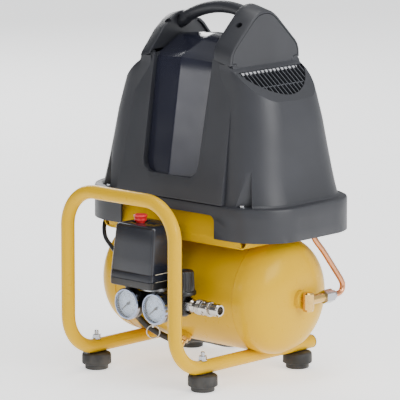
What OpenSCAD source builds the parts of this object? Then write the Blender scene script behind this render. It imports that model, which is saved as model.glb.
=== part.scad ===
// Small oil-free air compressor: a bent tube frame carries a horizontal air tank, the pump stands
// on a folded platform over the tank under a plastic hood, and the switch, gauges, regulator and
// coupler hang on the front of the tank. X runs along the tank, the hoop faces -Y, +Z is up.

/* [Frame] */
// Outer diameter of the frame tube
tube_d = 19; // [17:0.5:22]
// Wall thickness of the frame tube
tube_wall = 1.5; // [1:0.1:2.5]
// Distance between the two rails, centre to centre
rail_gauge = 201; // [188:1:216]
// Height of the hoop's top bar above the floor, at its centre line
hoop_height = 262; // [245:1:300]
// Distance from the middle of the feet forward to the hoop
hoop_reach = 152; // [146:1:175]
// Distance from the middle of the feet back to the ends of the rails
rail_reach = 125; // [120:1:150]
// Radius of the tube's bends, at the centre line
bend_r = 52; // [35:1:60]

/* [Feet] */
// Distance between the front and back feet
foot_spacing = 194; // [175:1:205]
// Diameter of the upper part of a foot
foot_d = 41; // [34:0.5:46]
// Diameter of the stepped base of a foot
foot_base_d = 32.5; // [26:0.5:34]
// Height of a foot
foot_h = 23; // [20:0.5:30]
// Height of the stepped base
foot_base_h = 7; // [4:0.5:10]
// Diameter of the foot's stud
stud_d = 6; // [5:0.5:8]

/* [Tank] */
// Outer diameter of the tank
tank_d = 164; // [150:1:176]
// Length of the tank's cylinder between the two weld seams
tank_len = 223; // [200:1:240]
// Depth of each domed end
dome_depth = 50.5; // [40:0.5:60]
// Wall thickness of the tank
tank_wall = 2.2; // [1.5:0.1:4]
// Distance of the tank's axis behind the middle of the feet
tank_y = 32.5; // [25:0.5:38]
// Depth by which the rails are notched for the tank
tank_sink = 8.5; // [4:0.5:9]

/* [Platform] */
// Length of the pump platform along the tank
platform_len = 248; // [236:1:252]
// Width of the platform's deck
deck_w = 138; // [120:1:150]
// Height of the deck above the crown of the tank
deck_rise = 36; // [32:0.5:40]
// Sheet thickness
sheet = 2; // [1.5:0.1:3]

/* [Air line] */
// Outer diameter of the copper delivery pipe
pipe_d = 8; // [6:0.5:10]
// Size across flats of the pipe's union nuts
nut_af = 17; // [15:0.5:19]

/* [Switch group] */
// Distance of the manifold's centre in front of the tank
manifold_reach = 32.5; // [31:0.5:38]
// Length of the manifold
manifold_len = 76; // [72:1:84]
// Diameter of a gauge's bezel
gauge_d = 44; // [38:0.5:46]
// Distance between the two gauges
gauge_pitch = 52; // [48:0.5:56]
// Width of the pressure switch's cover
cover_w = 71; // [64:1:78]
// Depth of the pressure switch's cover at its foot
cover_depth = 62; // [56:1:64]
// Height of the pressure switch's cover
cover_h = 72; // [64:1:80]
// Wall of the pressure switch's cover
cover_wall = 2.2; // [1.5:0.1:3]
// Travel of the red switch knob
knob_travel = 5; // [3:0.5:7]
// Diameter of the red switch knob
knob_d = 19.5; // [16:0.5:24]
// Diameter of the regulator knob at its foot
reg_knob_d = 32; // [28:0.5:34]
// Height of the regulator knob
reg_knob_h = 33; // [26:0.5:38]

/* [Coupler] */
// Bore that takes the hose plug
coupler_bore = 11.5; // [10:0.1:13]
// Diameter of the sliding sleeve
sleeve_d = 21; // [19:0.5:24]
// Travel of the sliding sleeve
sleeve_travel = 4; // [3:0.5:5]

/* [Hood] */
// Width of the hood's rim
hood_w = 360; // [352:1:376]
// Depth of the hood's rim
hood_d = 208; // [202:1:216]
// Corner radius of the rim
rim_r = 66; // [50:1:75]
// Height of the rim skirt
rim_h = 46.5; // [40:0.5:52]
// Gap between the crown of the tank and the rim
rim_gap = 2.6; // [2:0.1:5]
// Wall thickness of the hood
hood_wall = 3; // [2:0.1:4]
// Height of the hood's body above the rim skirt
body_h = 194; // [180:1:205]
// Height of the tower caps above the hood's body
tower_h = 70; // [60:1:76]
// Width of a tower cap
tower_w = 38; // [32:1:42]
// Diameter of the handle bar
handle_d = 17; // [14:0.5:20]

/* [Pump] */
// Outside diameter of the motor's stator
stator_d = 104; // [90:1:110]
// Diameter of the rotor
rotor_d = 61; // [50:1:66]
// Diameter of the shaft
shaft_d = 12; // [10:0.5:14]
// Crank throw
crank_throw = 9; // [7:0.5:10]
// Bore of the cylinder
bore_d = 50; // [44:1:54]

/* [Clearances] */
// Radial clearance of a running fit
run_gap = 0.05; // [0.02:0.01:0.1]
// Gap between parts that only lie against each other
seat_gap = 0.1; // [0.05:0.01:0.3]
// Gap round a loose piece that moves
loose_gap = 0.4; // [0.3:0.05:0.8]

/* [Hidden] */
$fn = 64;

// Frame heights and foot places
rail_x = rail_gauge / 2;
rail_z = foot_h + tube_d / 2;
rail_top = rail_z + tube_d / 2;
washer_t = 1.2;
nut_t = 5;
nut_size = 10;
stud_grip = 13;
stud_top = rail_top + washer_t + nut_t + 6;

// Tank places
tank_r = tank_d / 2;
tank_z = rail_top - tank_sink + tank_r;
tank_top = tank_z + tank_r;
tank_end = tank_len / 2 + dome_depth;
dome_power = 2.66;
dome_steps = 20;
seam_w = 2;
seam_depth = 0.6;
boss_h = 6;
boss_d = 26;
drain_angle = 52;
drain_x = -5;
drain_boss_d = 20;
hook_d = 13;

// Air line: the check valve stands on the right end boss, its barrel points back
elbow_x = tank_end + boss_h + 8.2;
valve_d = 16;
barrel_len = 31;
union_len = 22;
union_y = tank_y + barrel_len;

// Manifold, switch and gauges share the manifold's centre
man_x = 2;
man_y = tank_y - tank_r - manifold_reach;
man_z = tank_z - 9;
man_depth = 22;
man_h = 28;
man_top = man_z + man_h / 2;
man_front = man_y - man_depth / 2;
nipple_d = 17;
gauge_z = man_z - 1.5;
gauge_stem = 7;
gauge_case_len = 17;
gauge_face = man_front - gauge_stem - gauge_case_len;
bezel_len = 5;
switch_z = man_top + 10.5;
flange_h = 10;
cover_z = switch_z + flange_h;
cover_top = cover_z + cover_h;
cover_front = man_y - 42;
cover_slope = 6;
cover_y = cover_front + cover_depth / 2;
knob_x = -20;
knob_y = cover_y + 1;
knob_stem_d = 12;
ledge_w = 14;
mains_gland_y = -88;
lead_gland_y = -76;
lead_gland_z = switch_z + 5;

// Regulator and coupler
reg_x = man_x + manifold_len / 2 + 12.5;
reg_y = man_y - 2;
reg_body_d = 22;
reg_low = man_z - 9;
reg_top = man_z + 15;
knob_foot = reg_top + 3;
coupler_z = man_z + 4.5;
coupler_x = reg_x + 8;
hex_len = 14;
body_len = 60;
sleeve_x = coupler_x + hex_len + sleeve_travel + 1;
sleeve_len = 26;
body_d = 15;
nose_d = 17.5;

// Safety valve under the manifold
safe_x = -6;
safe_len = 17;
safe_z = man_z - man_h / 2 - safe_len;
pull_travel = 2.5;
ring_d = 18;
ring_wire = 1.6;
ring_pin = 3.3;
ring_yaw = 40;
ring_gap = asin(2 * ring_pin / ring_d);

// Hood: the rim clears the tank's crown
hood_x = -4;
hood_y = 50.5;
rim_z = tank_top + rim_gap;
body_z = rim_z + rim_h;
body_top = body_z + body_h;
cowl_half = 98;
cowl_top_half = 88;
tower_inner = 53;
tower_base = 150;
tower_apex_w = 26;
cut_w = 174;
cut_h = 32;
cut_x = -7;
pocket_d = 34;
pocket_x = 125;
pocket_in = 6;
pocket_h = 90;
window_w = 108;
window_h = 150;
window_z = body_z + 25;
window_depth = 9;
handle_rise = 11;
handle_z = body_top + tower_h - 19;

// Pump: the motor's axis runs along X over the deck
deck_z = tank_top + deck_rise;
mount_h = 10;
pump_y = 40;
base_z = deck_z + mount_h;
base_t = 6;
crank_z = base_z + 63;
mount_x = 46;
mount_dy = 34;
case_x = -2;
case_len = 74;
case_w = 84;
case_wall = 5;
stator_x = -62;
stator_len = 50;
pin_d = 10;
cyl_z = crank_z + 42;
cyl_len = 42;
cyl_wall = 4;
rod_x = case_x + case_len / 2;
head_z = cyl_z + cyl_len;
head_size = 74;
head_h = 24;

// The bounding box is centred on the origin: rim on the left, union nut on the right,
// hoop in front and rim behind
left_edge = hood_x - hood_w / 2;
right_edge = elbow_x + nut_af / (2 * cos(30));
front_edge = -hoop_reach - tube_d / 2;
back_edge = hood_y + hood_d / 2;
mid_x = (left_edge + right_edge) / 2;
mid_y = (front_edge + back_edge) / 2;

// Mains cord: its route from the gland under the switch, under the tank and back to the coil,
// measured from the middle of the feet
cord_d = 9;
cord_route = [
    [-42, -88, 130], [-42, -88, 118], [-42, -88, 106], [-46, -84, 97], [-54, -74, 88],
    [-63, -61, 79], [-69, -49, 72], [-71, -41, 66], [-67, -35, 58], [-61, -28, 51],
    [-54, -20, 44], [-49, -10, 37.5], [-48, 3, 31.5], [-48, 17, 28.3], [-48, 29, 27.5],
    [-48, 42, 26.5], [-48, 58, 24], [-48, 76, 19.5], [-48, 94, 13.5], [-48, 110, 8.5],
    [-48, 126, 5.5], [-48, 144, 4.5], [-48, 164, 4.5], [-48, 184, 4.5], [-48, 206, 4.5]
];
coil_x = -109.5;
coil_y = 226;
coil_inner = 38;
coil_outer = 66;
coil_h = 18;
clip_y = 29;
plug_x = coil_x - 61.5;
plug_y = coil_y - 22;

// Motor lead: from the hood down to the gland on the switch
lead_d = 6;
lead_route = [
    [-64, -13, 288], [-84, -19, 283], [-108, -20, 270], [-127, -20, 252], [-137, -23, 230],
    [-140, -31, 209], [-138, -42, 191], [-128, -51, 177], [-113, -57, 168], [-96, -63, 160],
    [-81, -69, 151], [-68, -74, 142], [-58, -76, 137], [-50, -76, 136], [-44, -76, 136]
];

pipe_corner = 22;
pipe_route = [
    [rod_x + head_size / 2 - 4, pump_y, head_z + 5],
    [rod_x + head_size / 2 + 18, pump_y + 1, head_z + 5],
    [140, 60, 250],
    [160, 63, 193],
    [elbow_x, 109, tank_z],
    [elbow_x, union_y + 4, tank_z]
];

// ---- shared shapes ----

module at_origin() translate([-mid_x, -mid_y, 0]) children();

module both_sides() {
    children();
    mirror([1, 0, 0]) children();
}

module along_x(x, y, z) translate([x, y, z]) rotate([0, 90, 0]) children();

module along_y(x, y, z) translate([x, y, z]) rotate([-90, 0, 0]) children();

module ring(od, id, h) {
    difference() {
        cylinder(d = od, h = h);
        translate([0, 0, -1]) cylinder(d = id, h = h + 2);
    }
}

module hexagon(af, h) cylinder(d = af / cos(30), h = h, $fn = 6);

module rounded_rect(w, d, r) {
    square([w - 2 * r, d], center = true);
    square([w, d - 2 * r], center = true);
    for (sx = [-1, 1], sy = [-1, 1])
        translate([sx * (w / 2 - r), sy * (d / 2 - r)]) circle(r);
}

module rounded_box(w, d, h, r) linear_extrude(h) rounded_rect(w, d, r);

// A tube of round section swept along a list of points
function unit(v) = v / norm(v);
function path_dirs(p) = [
    for (i = [0:len(p) - 1]) unit(p[min(i + 1, len(p) - 1)] - p[max(i - 1, 0)])
];
function carried(dirs, i, side) =
    i >= len(dirs) ? [] :
    let (s = unit(side - (side * dirs[i]) * dirs[i])) concat([s], carried(dirs, i + 1, s));

// The corners of a list of points rounded with short curves
function corner_curve(a, b, c, r, n) =
    let (s = b + unit(a - b) * r, e = b + unit(c - b) * r)
    [for (i = [0:n]) let (t = i / n) s * (1 - t) * (1 - t) + b * 2 * t * (1 - t) + e * t * t];
function rounded_path(p, r, n) = [
    p[0],
    for (i = [1:len(p) - 2])
        each corner_curve(p[i - 1], p[i], p[i + 1],
            min(r, 0.45 * norm(p[i] - p[i - 1]), 0.45 * norm(p[i + 1] - p[i])), n),
    p[len(p) - 1]
];

module swept_tube(path, d, sides, first_side) {
    dirs = path_dirs(path);
    us = carried(dirs, 0, first_side);
    n = len(path);
    pts = [
        for (i = [0:n - 1], k = [0:sides - 1])
            let (u = us[i], v = cross(dirs[i], u), a = 360 * k / sides)
            path[i] + d / 2 * (u * cos(a) + v * sin(a))
    ];
    walls = [
        for (i = [0:n - 2], k = [0:sides - 1])
            let (j = (k + 1) % sides)
            each [
                [i * sides + k, (i + 1) * sides + k, (i + 1) * sides + j],
                [i * sides + k, (i + 1) * sides + j, i * sides + j]
            ]
    ];
    first = [for (k = [0:sides - 1]) k];
    last = [for (k = [sides - 1:-1:0]) (n - 1) * sides + k];
    polyhedron(pts, concat([first], walls, [last]), convexity = 8);
}

module tank_solid(extra) {
    along_x(-tank_len, tank_y, tank_z) cylinder(d = tank_d + 2 * extra, h = 2 * tank_len);
}

module at_feet() {
    for (x = [-rail_x, rail_x], y = [-foot_spacing / 2, foot_spacing / 2])
        translate([x, y, 0]) children();
}

// ---- frame and feet ----

module tube_section() {
    difference() {
        circle(d = tube_d);
        circle(d = tube_d - 2 * tube_wall);
    }
}

module tube_bend() rotate_extrude(angle = 90) translate([bend_r, 0]) tube_section();

module half_frame() {
    translate([rail_x, rail_reach, rail_z]) rotate([90, 0, 0])
        linear_extrude(rail_reach + hoop_reach - bend_r) tube_section();
    translate([rail_x, bend_r - hoop_reach, rail_z + bend_r])
        rotate([0, 90, 0]) rotate([0, 0, -90]) tube_bend();
    translate([rail_x, -hoop_reach, rail_z + bend_r])
        linear_extrude(hoop_height - rail_z - 2 * bend_r) tube_section();
    translate([rail_x - bend_r, -hoop_reach, hoop_height - bend_r])
        rotate([90, 0, 0]) tube_bend();
    along_x(0, -hoop_reach, hoop_height) linear_extrude(rail_x - bend_r) tube_section();
}

module frame_tube() {
    color("gold")
    difference() {
        both_sides() half_frame();
        tank_solid(seat_gap);
        at_feet() cylinder(d = stud_d + 0.6, h = rail_top + 5);
    }
}

module rail_plugs() {
    color("black")
    both_sides() translate([rail_x, rail_reach, rail_z]) rotate([-90, 0, 0]) {
        cylinder(d = tube_d, h = 1.5);
        translate([0, 0, 1.5]) cylinder(d1 = tube_d, d2 = tube_d - 3, h = 1.5);
        translate([0, 0, -10]) cylinder(d = tube_d - 2 * tube_wall - 2 * seat_gap, h = 10);
    }
}

module rubber_feet() {
    base_r = foot_base_d / 2;
    top_r = foot_d / 2;
    color("dimgray")
    at_feet() difference() {
        rotate_extrude() polygon([
            [0, 0], [base_r - 1.5, 0], [base_r, 1.5], [base_r, foot_base_h],
            [top_r - 1, foot_base_h], [top_r, foot_base_h + 1], [top_r - 0.6, foot_h - 1.5],
            [top_r - 2, foot_h], [0, foot_h]
        ]);
        translate([0, 0, foot_h - stud_grip]) cylinder(d = stud_d, h = stud_grip + 1);
    }
}

module foot_studs() {
    color("silver")
    at_feet() {
        translate([0, 0, foot_h - stud_grip]) cylinder(d = stud_d, h = stud_top - foot_h + stud_grip - 1);
        translate([0, 0, stud_top - 1]) cylinder(d1 = stud_d, d2 = stud_d - 2, h = 1);
    }
}

module foot_nuts() {
    color("silver")
    at_feet() translate([0, 0, rail_top]) difference() {
        union() {
            cylinder(d = 2 * stud_d, h = washer_t);
            translate([0, 0, washer_t]) hexagon(nut_size, nut_t);
        }
        translate([0, 0, -1]) cylinder(d = stud_d + 2 * run_gap, h = washer_t + nut_t + 2);
    }
}

// ---- tank ----

function dome_curve(r, depth) = [
    for (i = [0:dome_steps])
        let (a = 90 * i / dome_steps)
        [r * pow(cos(a), 2 / dome_power), depth * pow(sin(a), 2 / dome_power)]
];
function reversed(list) = [for (i = [len(list) - 1:-1:0]) list[i]];

module dome() {
    outer = dome_curve(tank_r, dome_depth);
    inner = dome_curve(tank_r - tank_wall, dome_depth - tank_wall);
    rotate_extrude($fn = 96) polygon(concat(outer, reversed(inner)));
}

module drain_axis(distance) {
    translate([drain_x, tank_y, tank_z]) rotate([90 + drain_angle, 0, 0])
        translate([0, 0, distance]) children();
}

module tank_shell() {
    color("gold")
    difference() {
        along_x(-tank_len / 2, tank_y, tank_z) cylinder(d = tank_d, h = tank_len, $fn = 96);
        for (x = [-tank_len / 2 + 1, tank_len / 2 - 3])
            along_x(x, tank_y, tank_z) ring(tank_d + 4, tank_d - 2 * seam_depth, seam_w, $fn = 96);
        along_x(-tank_len, tank_y, tank_z) cylinder(d = tank_d - 2 * tank_wall, h = 2 * tank_len, $fn = 96);
        translate([man_x, 0, man_z]) rotate([90, 0, 0]) cylinder(d = nipple_d - 4, h = tank_d);
        drain_axis(tank_r - 10) cylinder(d = 10, h = 20);
    }
}

module tank_dome_left() {
    color("gold")
    translate([-tank_len / 2, tank_y, tank_z]) rotate([0, -90, 0]) dome();
}

module tank_dome_right() {
    color("gold")
    translate([tank_len / 2, tank_y, tank_z]) rotate([0, 90, 0]) difference() {
        dome();
        translate([0, 0, dome_depth - 10]) cylinder(d = 10, h = 20);
    }
}

module tank_bosses() {
    color("gold") {
        difference() {
            translate([man_x, tank_y - tank_r + 8, man_z]) rotate([90, 0, 0]) cylinder(d = boss_d, h = 17);
            tank_solid(seat_gap);
            translate([man_x, tank_y, man_z]) rotate([90, 0, 0]) cylinder(d = nipple_d, h = tank_d);
        }
        difference() {
            drain_axis(tank_r - 4) cylinder(d = drain_boss_d, h = 10);
            tank_solid(seat_gap);
            drain_axis(tank_r - 6) cylinder(d = 10, h = 20);
        }
        along_x(tank_end + seat_gap, tank_y, tank_z) ring(boss_d, 12, boss_h - seat_gap);
    }
}

// The platform's folded section, drawn across the tank
module platform_section() {
    top = deck_z;
    half = deck_w / 2;
    fold_z = deck_z - 34;
    lip_z = fold_z - 10.5;
    difference() {
        polygon([
            [-half - 9, lip_z], [-half - 11, fold_z], [-half, top], [half, top],
            [half + 11, fold_z], [half + 9, lip_z]
        ]);
        polygon([
            [-half - 9 + sheet, lip_z - 1], [-half - 11 + sheet, fold_z],
            [-half + sheet, top - sheet], [half - sheet, top - sheet],
            [half + 11 - sheet, fold_z], [half + 9 - sheet, lip_z - 1]
        ]);
    }
}

// The rolled lower edge at each end of the platform
module end_hook() {
    difference() {
        circle(d = hook_d);
        circle(d = hook_d - 2 * sheet);
        translate([-hook_d, 0]) square([2 * hook_d, hook_d]);
    }
}

module pump_platform() {
    half = deck_w / 2;
    color("gold")
    difference() {
        union() {
            translate([-platform_len / 2, tank_y, 0]) rotate([90, 0, 90])
                linear_extrude(platform_len) platform_section();
            for (x = [-tank_len / 2 + 9, tank_len / 2 - 12])
                translate([x, tank_y, 0]) rotate([90, 0, 90]) linear_extrude(3)
                    polygon([
                        [-half - 5, deck_z - 40], [-half, deck_z - 1], [half, deck_z - 1],
                        [half + 5, deck_z - 40]
                    ]);
            both_sides() translate([platform_len / 2 + 2, tank_y + half + 9.5, deck_z - 36])
                rotate([90, 0, 0]) linear_extrude(2 * half + 19) end_hook();
        }
        tank_solid(seat_gap);
        for (x = [-mount_x, mount_x], y = [-mount_dy, mount_dy])
            translate([rod_x - 20 + x, pump_y + y, deck_z - 10]) cylinder(d = stud_d + 0.6, h = 20);
    }
}

module drain_body() {
    color("goldenrod")
    drain_axis(tank_r - 3) difference() {
        union() {
            cylinder(d = 10 - 2 * seat_gap, h = 9.2);
            translate([0, 0, 9.2]) hexagon(14, 5);
        }
        translate([0, 0, -1]) cylinder(d = 5, h = 20);
    }
}

module drain_screw() {
    color("goldenrod")
    drain_axis(tank_r + 11.6) {
        translate([0, 0, -9]) cylinder(d = 5 - 2 * run_gap, h = 9.5);
        translate([0, 0, 0.4]) cylinder(d = 11, h = 6);
        translate([0, 0, 6.4]) cylinder(d1 = 11, d2 = 8, h = 1.5);
    }
}

// ---- delivery line ----

module check_valve() {
    color("goldenrod")
    difference() {
        union() {
            translate([elbow_x, tank_y, tank_z - 12]) cylinder(d = valve_d, h = 21);
            translate([elbow_x, tank_y, tank_z + 9]) cylinder(d1 = valve_d, d2 = valve_d - 4, h = 2);
            translate([elbow_x, tank_y, tank_z - 15]) hexagon(13, 4);
            along_x(tank_end + 1, tank_y, tank_z) cylinder(d = 12 - 2 * seat_gap, h = boss_h + 2);
            along_y(elbow_x, tank_y, tank_z) cylinder(d = 13, h = barrel_len);
        }
        along_y(elbow_x, tank_y, tank_z) cylinder(d = pipe_d + 2 * seat_gap, h = barrel_len + 1);
        along_x(tank_end - 5, tank_y, tank_z) cylinder(d = 6, h = 16);
    }
}

module pipe_nuts() {
    color("silver") {
        along_y(elbow_x, union_y + seat_gap, tank_z) rotate([0, 0, 30]) difference() {
            union() {
                hexagon(nut_af, union_len - 6);
                translate([0, 0, union_len - 6]) cylinder(d1 = nut_af - 1, d2 = pipe_d + 5, h = 6);
            }
            translate([0, 0, -1]) cylinder(d = pipe_d + 2 * seat_gap, h = union_len + 2);
        }
        along_x(rod_x + head_size / 2 + seat_gap, pump_y, head_z + 5)
            difference() {
                hexagon(nut_af, 12);
                translate([0, 0, -1]) cylinder(d = pipe_d + 4, h = 14);
            }
    }
}

module delivery_pipe() {
    color("peru") swept_tube(rounded_path(pipe_route, pipe_corner, 6), pipe_d, 12, [0, 1, 0]);
}

// ---- manifold, switch and gauges ----

module tank_nipple() {
    color("goldenrod")
    difference() {
        translate([man_x, tank_y - tank_r - 0.6, man_z]) rotate([90, 0, 0])
            cylinder(d = nipple_d - 2 * seat_gap, h = manifold_reach - man_depth / 2 - 0.7);
        translate([man_x, tank_y, man_z]) rotate([90, 0, 0]) cylinder(d = 9, h = tank_d);
    }
}

module air_manifold() {
    color("dimgray")
    difference() {
        union() {
            translate([man_x - manifold_len / 2, man_y - man_depth / 2, man_z - man_h / 2])
                cube([manifold_len, man_depth, man_h]);
            translate([0, man_y, man_top]) cylinder(d = 18, h = 4);
            along_x(man_x + manifold_len / 2, reg_y, man_z)
                cylinder(d = 14, h = reg_x - reg_body_d / 2 - man_x - manifold_len / 2);
        }
        along_x(man_x - manifold_len / 2 + 6, man_y, man_z) cylinder(d = 9, h = manifold_len + 10);
        for (s = [-1, 1])
            along_y(man_x + s * gauge_pitch / 2, man_front - 1, gauge_z) cylinder(d = 9, h = 9);
        translate([safe_x, man_y, man_z - man_h / 2 - 1]) cylinder(d = 10, h = 9);
        translate([0, man_y, man_z]) cylinder(d = 8, h = 30);
    }
}

module pressure_housing() {
    color("silver")
    translate([0, man_y, man_top + 4 + seat_gap]) {
        ring(46, 8, 4);
        translate([0, 0, 4]) ring(38, 8, 2.3);
    }
}

module switch_base() {
    outer_w = cover_w + ledge_w;
    color("dimgray")
    difference() {
        translate([-ledge_w / 2, cover_y, switch_z]) rounded_box(outer_w, cover_depth + 2, flange_h, 4);
        translate([0, cover_y, switch_z + 3]) rounded_box(cover_w - 6, cover_depth - 6, flange_h, 3);
        translate([0, man_y, switch_z - 1]) cylinder(d = 9, h = 6);
        translate([-42, mains_gland_y, switch_z - 1]) cylinder(d = 12, h = flange_h + 2);
        along_x(-cover_w / 2 - ledge_w - 1, lead_gland_y, lead_gland_z) cylinder(d = 8, h = ledge_w + 8);
    }
}

module cover_solid(inset, height) {
    w = cover_w - 2 * inset;
    d = cover_depth - 2 * inset;
    hull() {
        rounded_box(w, d, 1, 6 - inset, $fn = 32);
        translate([0, cover_slope / 2, height - 3])
            rounded_box(w, d - cover_slope, 1, 6 - inset, $fn = 32);
        translate([0, cover_slope / 2, height - 1])
            rounded_box(w - 3, d - cover_slope - 3, 1, 4, $fn = 32);
    }
}

module switch_cover() {
    color([0.2, 0.2, 0.21])
    difference() {
        translate([0, cover_y, cover_z]) cover_solid(0, cover_h);
        translate([0, cover_y, cover_z - 0.5]) cover_solid(cover_wall, cover_h - cover_wall);
        translate([knob_x, knob_y, cover_top - 10])
            cylinder(d = knob_stem_d + 2 * loose_gap, h = 20);
        translate([4, knob_y - 3, cover_top - 1]) cube([13, 4, 2]);
    }
}

module cover_screw() {
    color("silver")
    translate([20, knob_y + 12, cover_top + seat_gap]) difference() {
        cylinder(d = 7, h = 1.8);
        translate([-3, -0.5, 1]) cube([6, 1, 1]);
    }
}

module switch_knob() {
    color("red")
    translate([knob_x, knob_y, cover_top]) {
        translate([0, 0, -22]) cylinder(d = knob_stem_d, h = 22 + knob_travel);
        translate([0, 0, knob_travel + 0.5]) rotate_extrude() polygon([
            [0, 0], [knob_d / 2 - 2.4, 0], [knob_d / 2 - 2, 1], [knob_d / 2 - 1, 4.5],
            [knob_d / 2, 5.5], [knob_d / 2, 7], [knob_d / 2 - 1.5, 8.2], [0, 8.5]
        ]);
    }
}

module contact_block() {
    color([0.75, 0.7, 0.6])
    translate([0, cover_y, switch_z + 3 + seat_gap])
        rounded_box(cover_w - 14, cover_depth - 16, 26, 3);
    color("silver")
    translate([14, cover_y, switch_z + 29 + seat_gap]) ring(16, 6, 18);
}

module cable_glands() {
    color("black") {
        translate([-42, mains_gland_y, switch_z - 9]) {
            ring(17, cord_d + 2 * loose_gap, 9 - seat_gap);
            translate([0, 0, 9]) ring(12 - 2 * seat_gap, cord_d + 2 * loose_gap, flange_h);
        }
        translate([-cover_w / 2 - ledge_w - 5, lead_gland_y, lead_gland_z]) rotate([0, 90, 0]) {
            ring(12, lead_d + 2.5 * loose_gap, 5 - seat_gap);
            translate([0, 0, 5]) ring(8 - 2 * seat_gap, lead_d + 2.5 * loose_gap, 8);
        }
    }
}

module at_gauges() {
    for (s = [-1, 1])
        translate([man_x + s * gauge_pitch / 2, gauge_face, gauge_z]) rotate([-90, 0, 0]) children();
}

module gauge_cases() {
    color("black")
    at_gauges() {
        difference() {
            union() {
                translate([0, 0, 2]) cylinder(d = gauge_d - 2, h = gauge_case_len - 4);
                translate([0, 0, gauge_case_len - 2]) cylinder(d1 = gauge_d - 2, d2 = gauge_d - 8, h = 2);
                translate([0, 0, gauge_case_len]) cylinder(d = 9 - 2 * seat_gap, h = gauge_stem + 6);
            }
            translate([0, 0, -1]) cylinder(d = gauge_d - 6, h = gauge_case_len - 3);
        }
        translate([0, 0, 3.5]) cylinder(d = 2, h = gauge_case_len - 6);
    }
}

module gauge_bezels() {
    color("silver")
    at_gauges() difference() {
        union() {
            translate([0, 0, -1]) cylinder(d1 = gauge_d - 3, d2 = gauge_d, h = 1.5);
            translate([0, 0, 0.5]) cylinder(d = gauge_d, h = bezel_len - 0.5);
        }
        translate([0, 0, -2]) cylinder(d = gauge_d - 6, h = bezel_len);
        translate([0, 0, 2 - seat_gap]) cylinder(d = gauge_d - 2 + 2 * seat_gap, h = bezel_len);
    }
}

module gauge_dials() {
    color("aliceblue")
    at_gauges() translate([0, 0, 6]) ring(gauge_d - 6 - 2 * seat_gap, 2 + 2 * seat_gap, 1);
}

module gauge_lenses() {
    color([0.8, 0.9, 1, 0.3])
    at_gauges() translate([0, 0, 0.4]) cylinder(d = gauge_d - 6 - 2 * seat_gap, h = 1.2);
}

module needle(side) {
    reach = gauge_d / 2 - 7;
    color("black")
    translate([man_x + side * gauge_pitch / 2, gauge_face + 3.2, gauge_z])
    rotate([0, 50, 0]) rotate([-90, 0, 0]) {
        ring(4, 2 + 2 * run_gap, 0.01 + 2.4);
        linear_extrude(0.8) difference() {
            polygon([[-1.1, 0], [-0.3, reach], [0.3, reach], [1.1, 0], [0.8, -5], [-0.8, -5]]);
            circle(d = 2 + 2 * run_gap);
        }
    }
    color("black")
    translate([man_x + side * gauge_pitch / 2, gauge_face + 3.1, gauge_z])
    rotate([-90, 0, 0]) translate([0, 0, -0.4]) cylinder(d = 3.4, h = 0.5);
}

// ---- regulator, coupler and safety valve ----

module regulator_body() {
    color("black")
    difference() {
        union() {
            translate([reg_x, reg_y, reg_low]) cylinder(d = reg_body_d, h = reg_top - reg_low);
            translate([reg_x, reg_y, reg_low - 3]) cylinder(d1 = 12, d2 = reg_body_d - 2, h = 3);
            translate([reg_x, reg_y, reg_top]) cylinder(d = 18, h = reg_knob_h - 8);
        }
        along_x(reg_x - 12, reg_y, man_z) cylinder(d = 7, h = 10);
        along_x(reg_x, reg_y, coupler_z) cylinder(d = 10, h = 20);
        along_x(coupler_x - seat_gap, reg_y, coupler_z) cylinder(d = 24, h = 10);
        translate([reg_x, reg_y, reg_top + 4]) cylinder(d = 13, h = 40);
    }
}

module regulator_knob() {
    ribs = 20;
    top_d = reg_knob_d - 3;
    color([0.12, 0.12, 0.12])
    translate([reg_x, reg_y, knob_foot]) difference() {
        union() {
            cylinder(d = reg_knob_d + 4, h = 4);
            translate([0, 0, 4]) cylinder(d1 = reg_knob_d + 4, d2 = reg_knob_d + 1, h = 1.5);
            translate([0, 0, 5.5]) cylinder(d1 = reg_knob_d - 1, d2 = top_d - 1, h = reg_knob_h - 7.5);
            translate([0, 0, reg_knob_h - 2]) cylinder(d1 = top_d - 1, d2 = top_d - 5, h = 2);
            for (i = [0:ribs - 1]) rotate([0, 0, 360 * i / ribs])
                translate([reg_knob_d / 2 - 2, -0.9, 5]) cube([1.6, 1.8, reg_knob_h - 8]);
        }
        translate([0, 0, -1]) cylinder(d = 18 + 2 * run_gap, h = reg_knob_h - 5);
        translate([-5, -0.8, reg_knob_h - 0.8]) cube([10, 1.6, 2]);
    }
}

module coupler_body() {
    total = body_len;
    color("silver")
    along_x(coupler_x, reg_y, coupler_z) difference() {
        union() {
            translate([0, 0, -5]) cylinder(d = 10 - 2 * seat_gap, h = 6);
            hexagon(19, hex_len - 3);
            translate([0, 0, hex_len - 3]) cylinder(d1 = 18, d2 = body_d, h = 3);
            translate([0, 0, hex_len]) cylinder(d = body_d, h = total - hex_len - 3);
            translate([0, 0, total - 12]) cylinder(d = nose_d, h = 10);
            translate([0, 0, total - 2]) cylinder(d1 = nose_d, d2 = nose_d - 2, h = 2);
        }
        translate([0, 0, total - 38]) cylinder(d = coupler_bore, h = 40);
        translate([0, 0, -6]) cylinder(d = 6, h = total);
    }
}

module coupler_sleeve() {
    grooves = 5;
    color("silver")
    along_x(sleeve_x, reg_y, coupler_z) difference() {
        union() {
            cylinder(d1 = sleeve_d - 2, d2 = sleeve_d, h = 1.5);
            translate([0, 0, 1.5]) cylinder(d = sleeve_d, h = sleeve_len - 3);
            translate([0, 0, sleeve_len - 1.5]) cylinder(d1 = sleeve_d, d2 = sleeve_d - 2, h = 1.5);
        }
        translate([0, 0, -1]) cylinder(d = body_d + 2 * run_gap, h = sleeve_len + 2);
        for (i = [0:grooves - 1]) translate([0, 0, 5 + 2.4 * i])
            ring(sleeve_d + 2, sleeve_d - 1, 1);
    }
}

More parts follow.
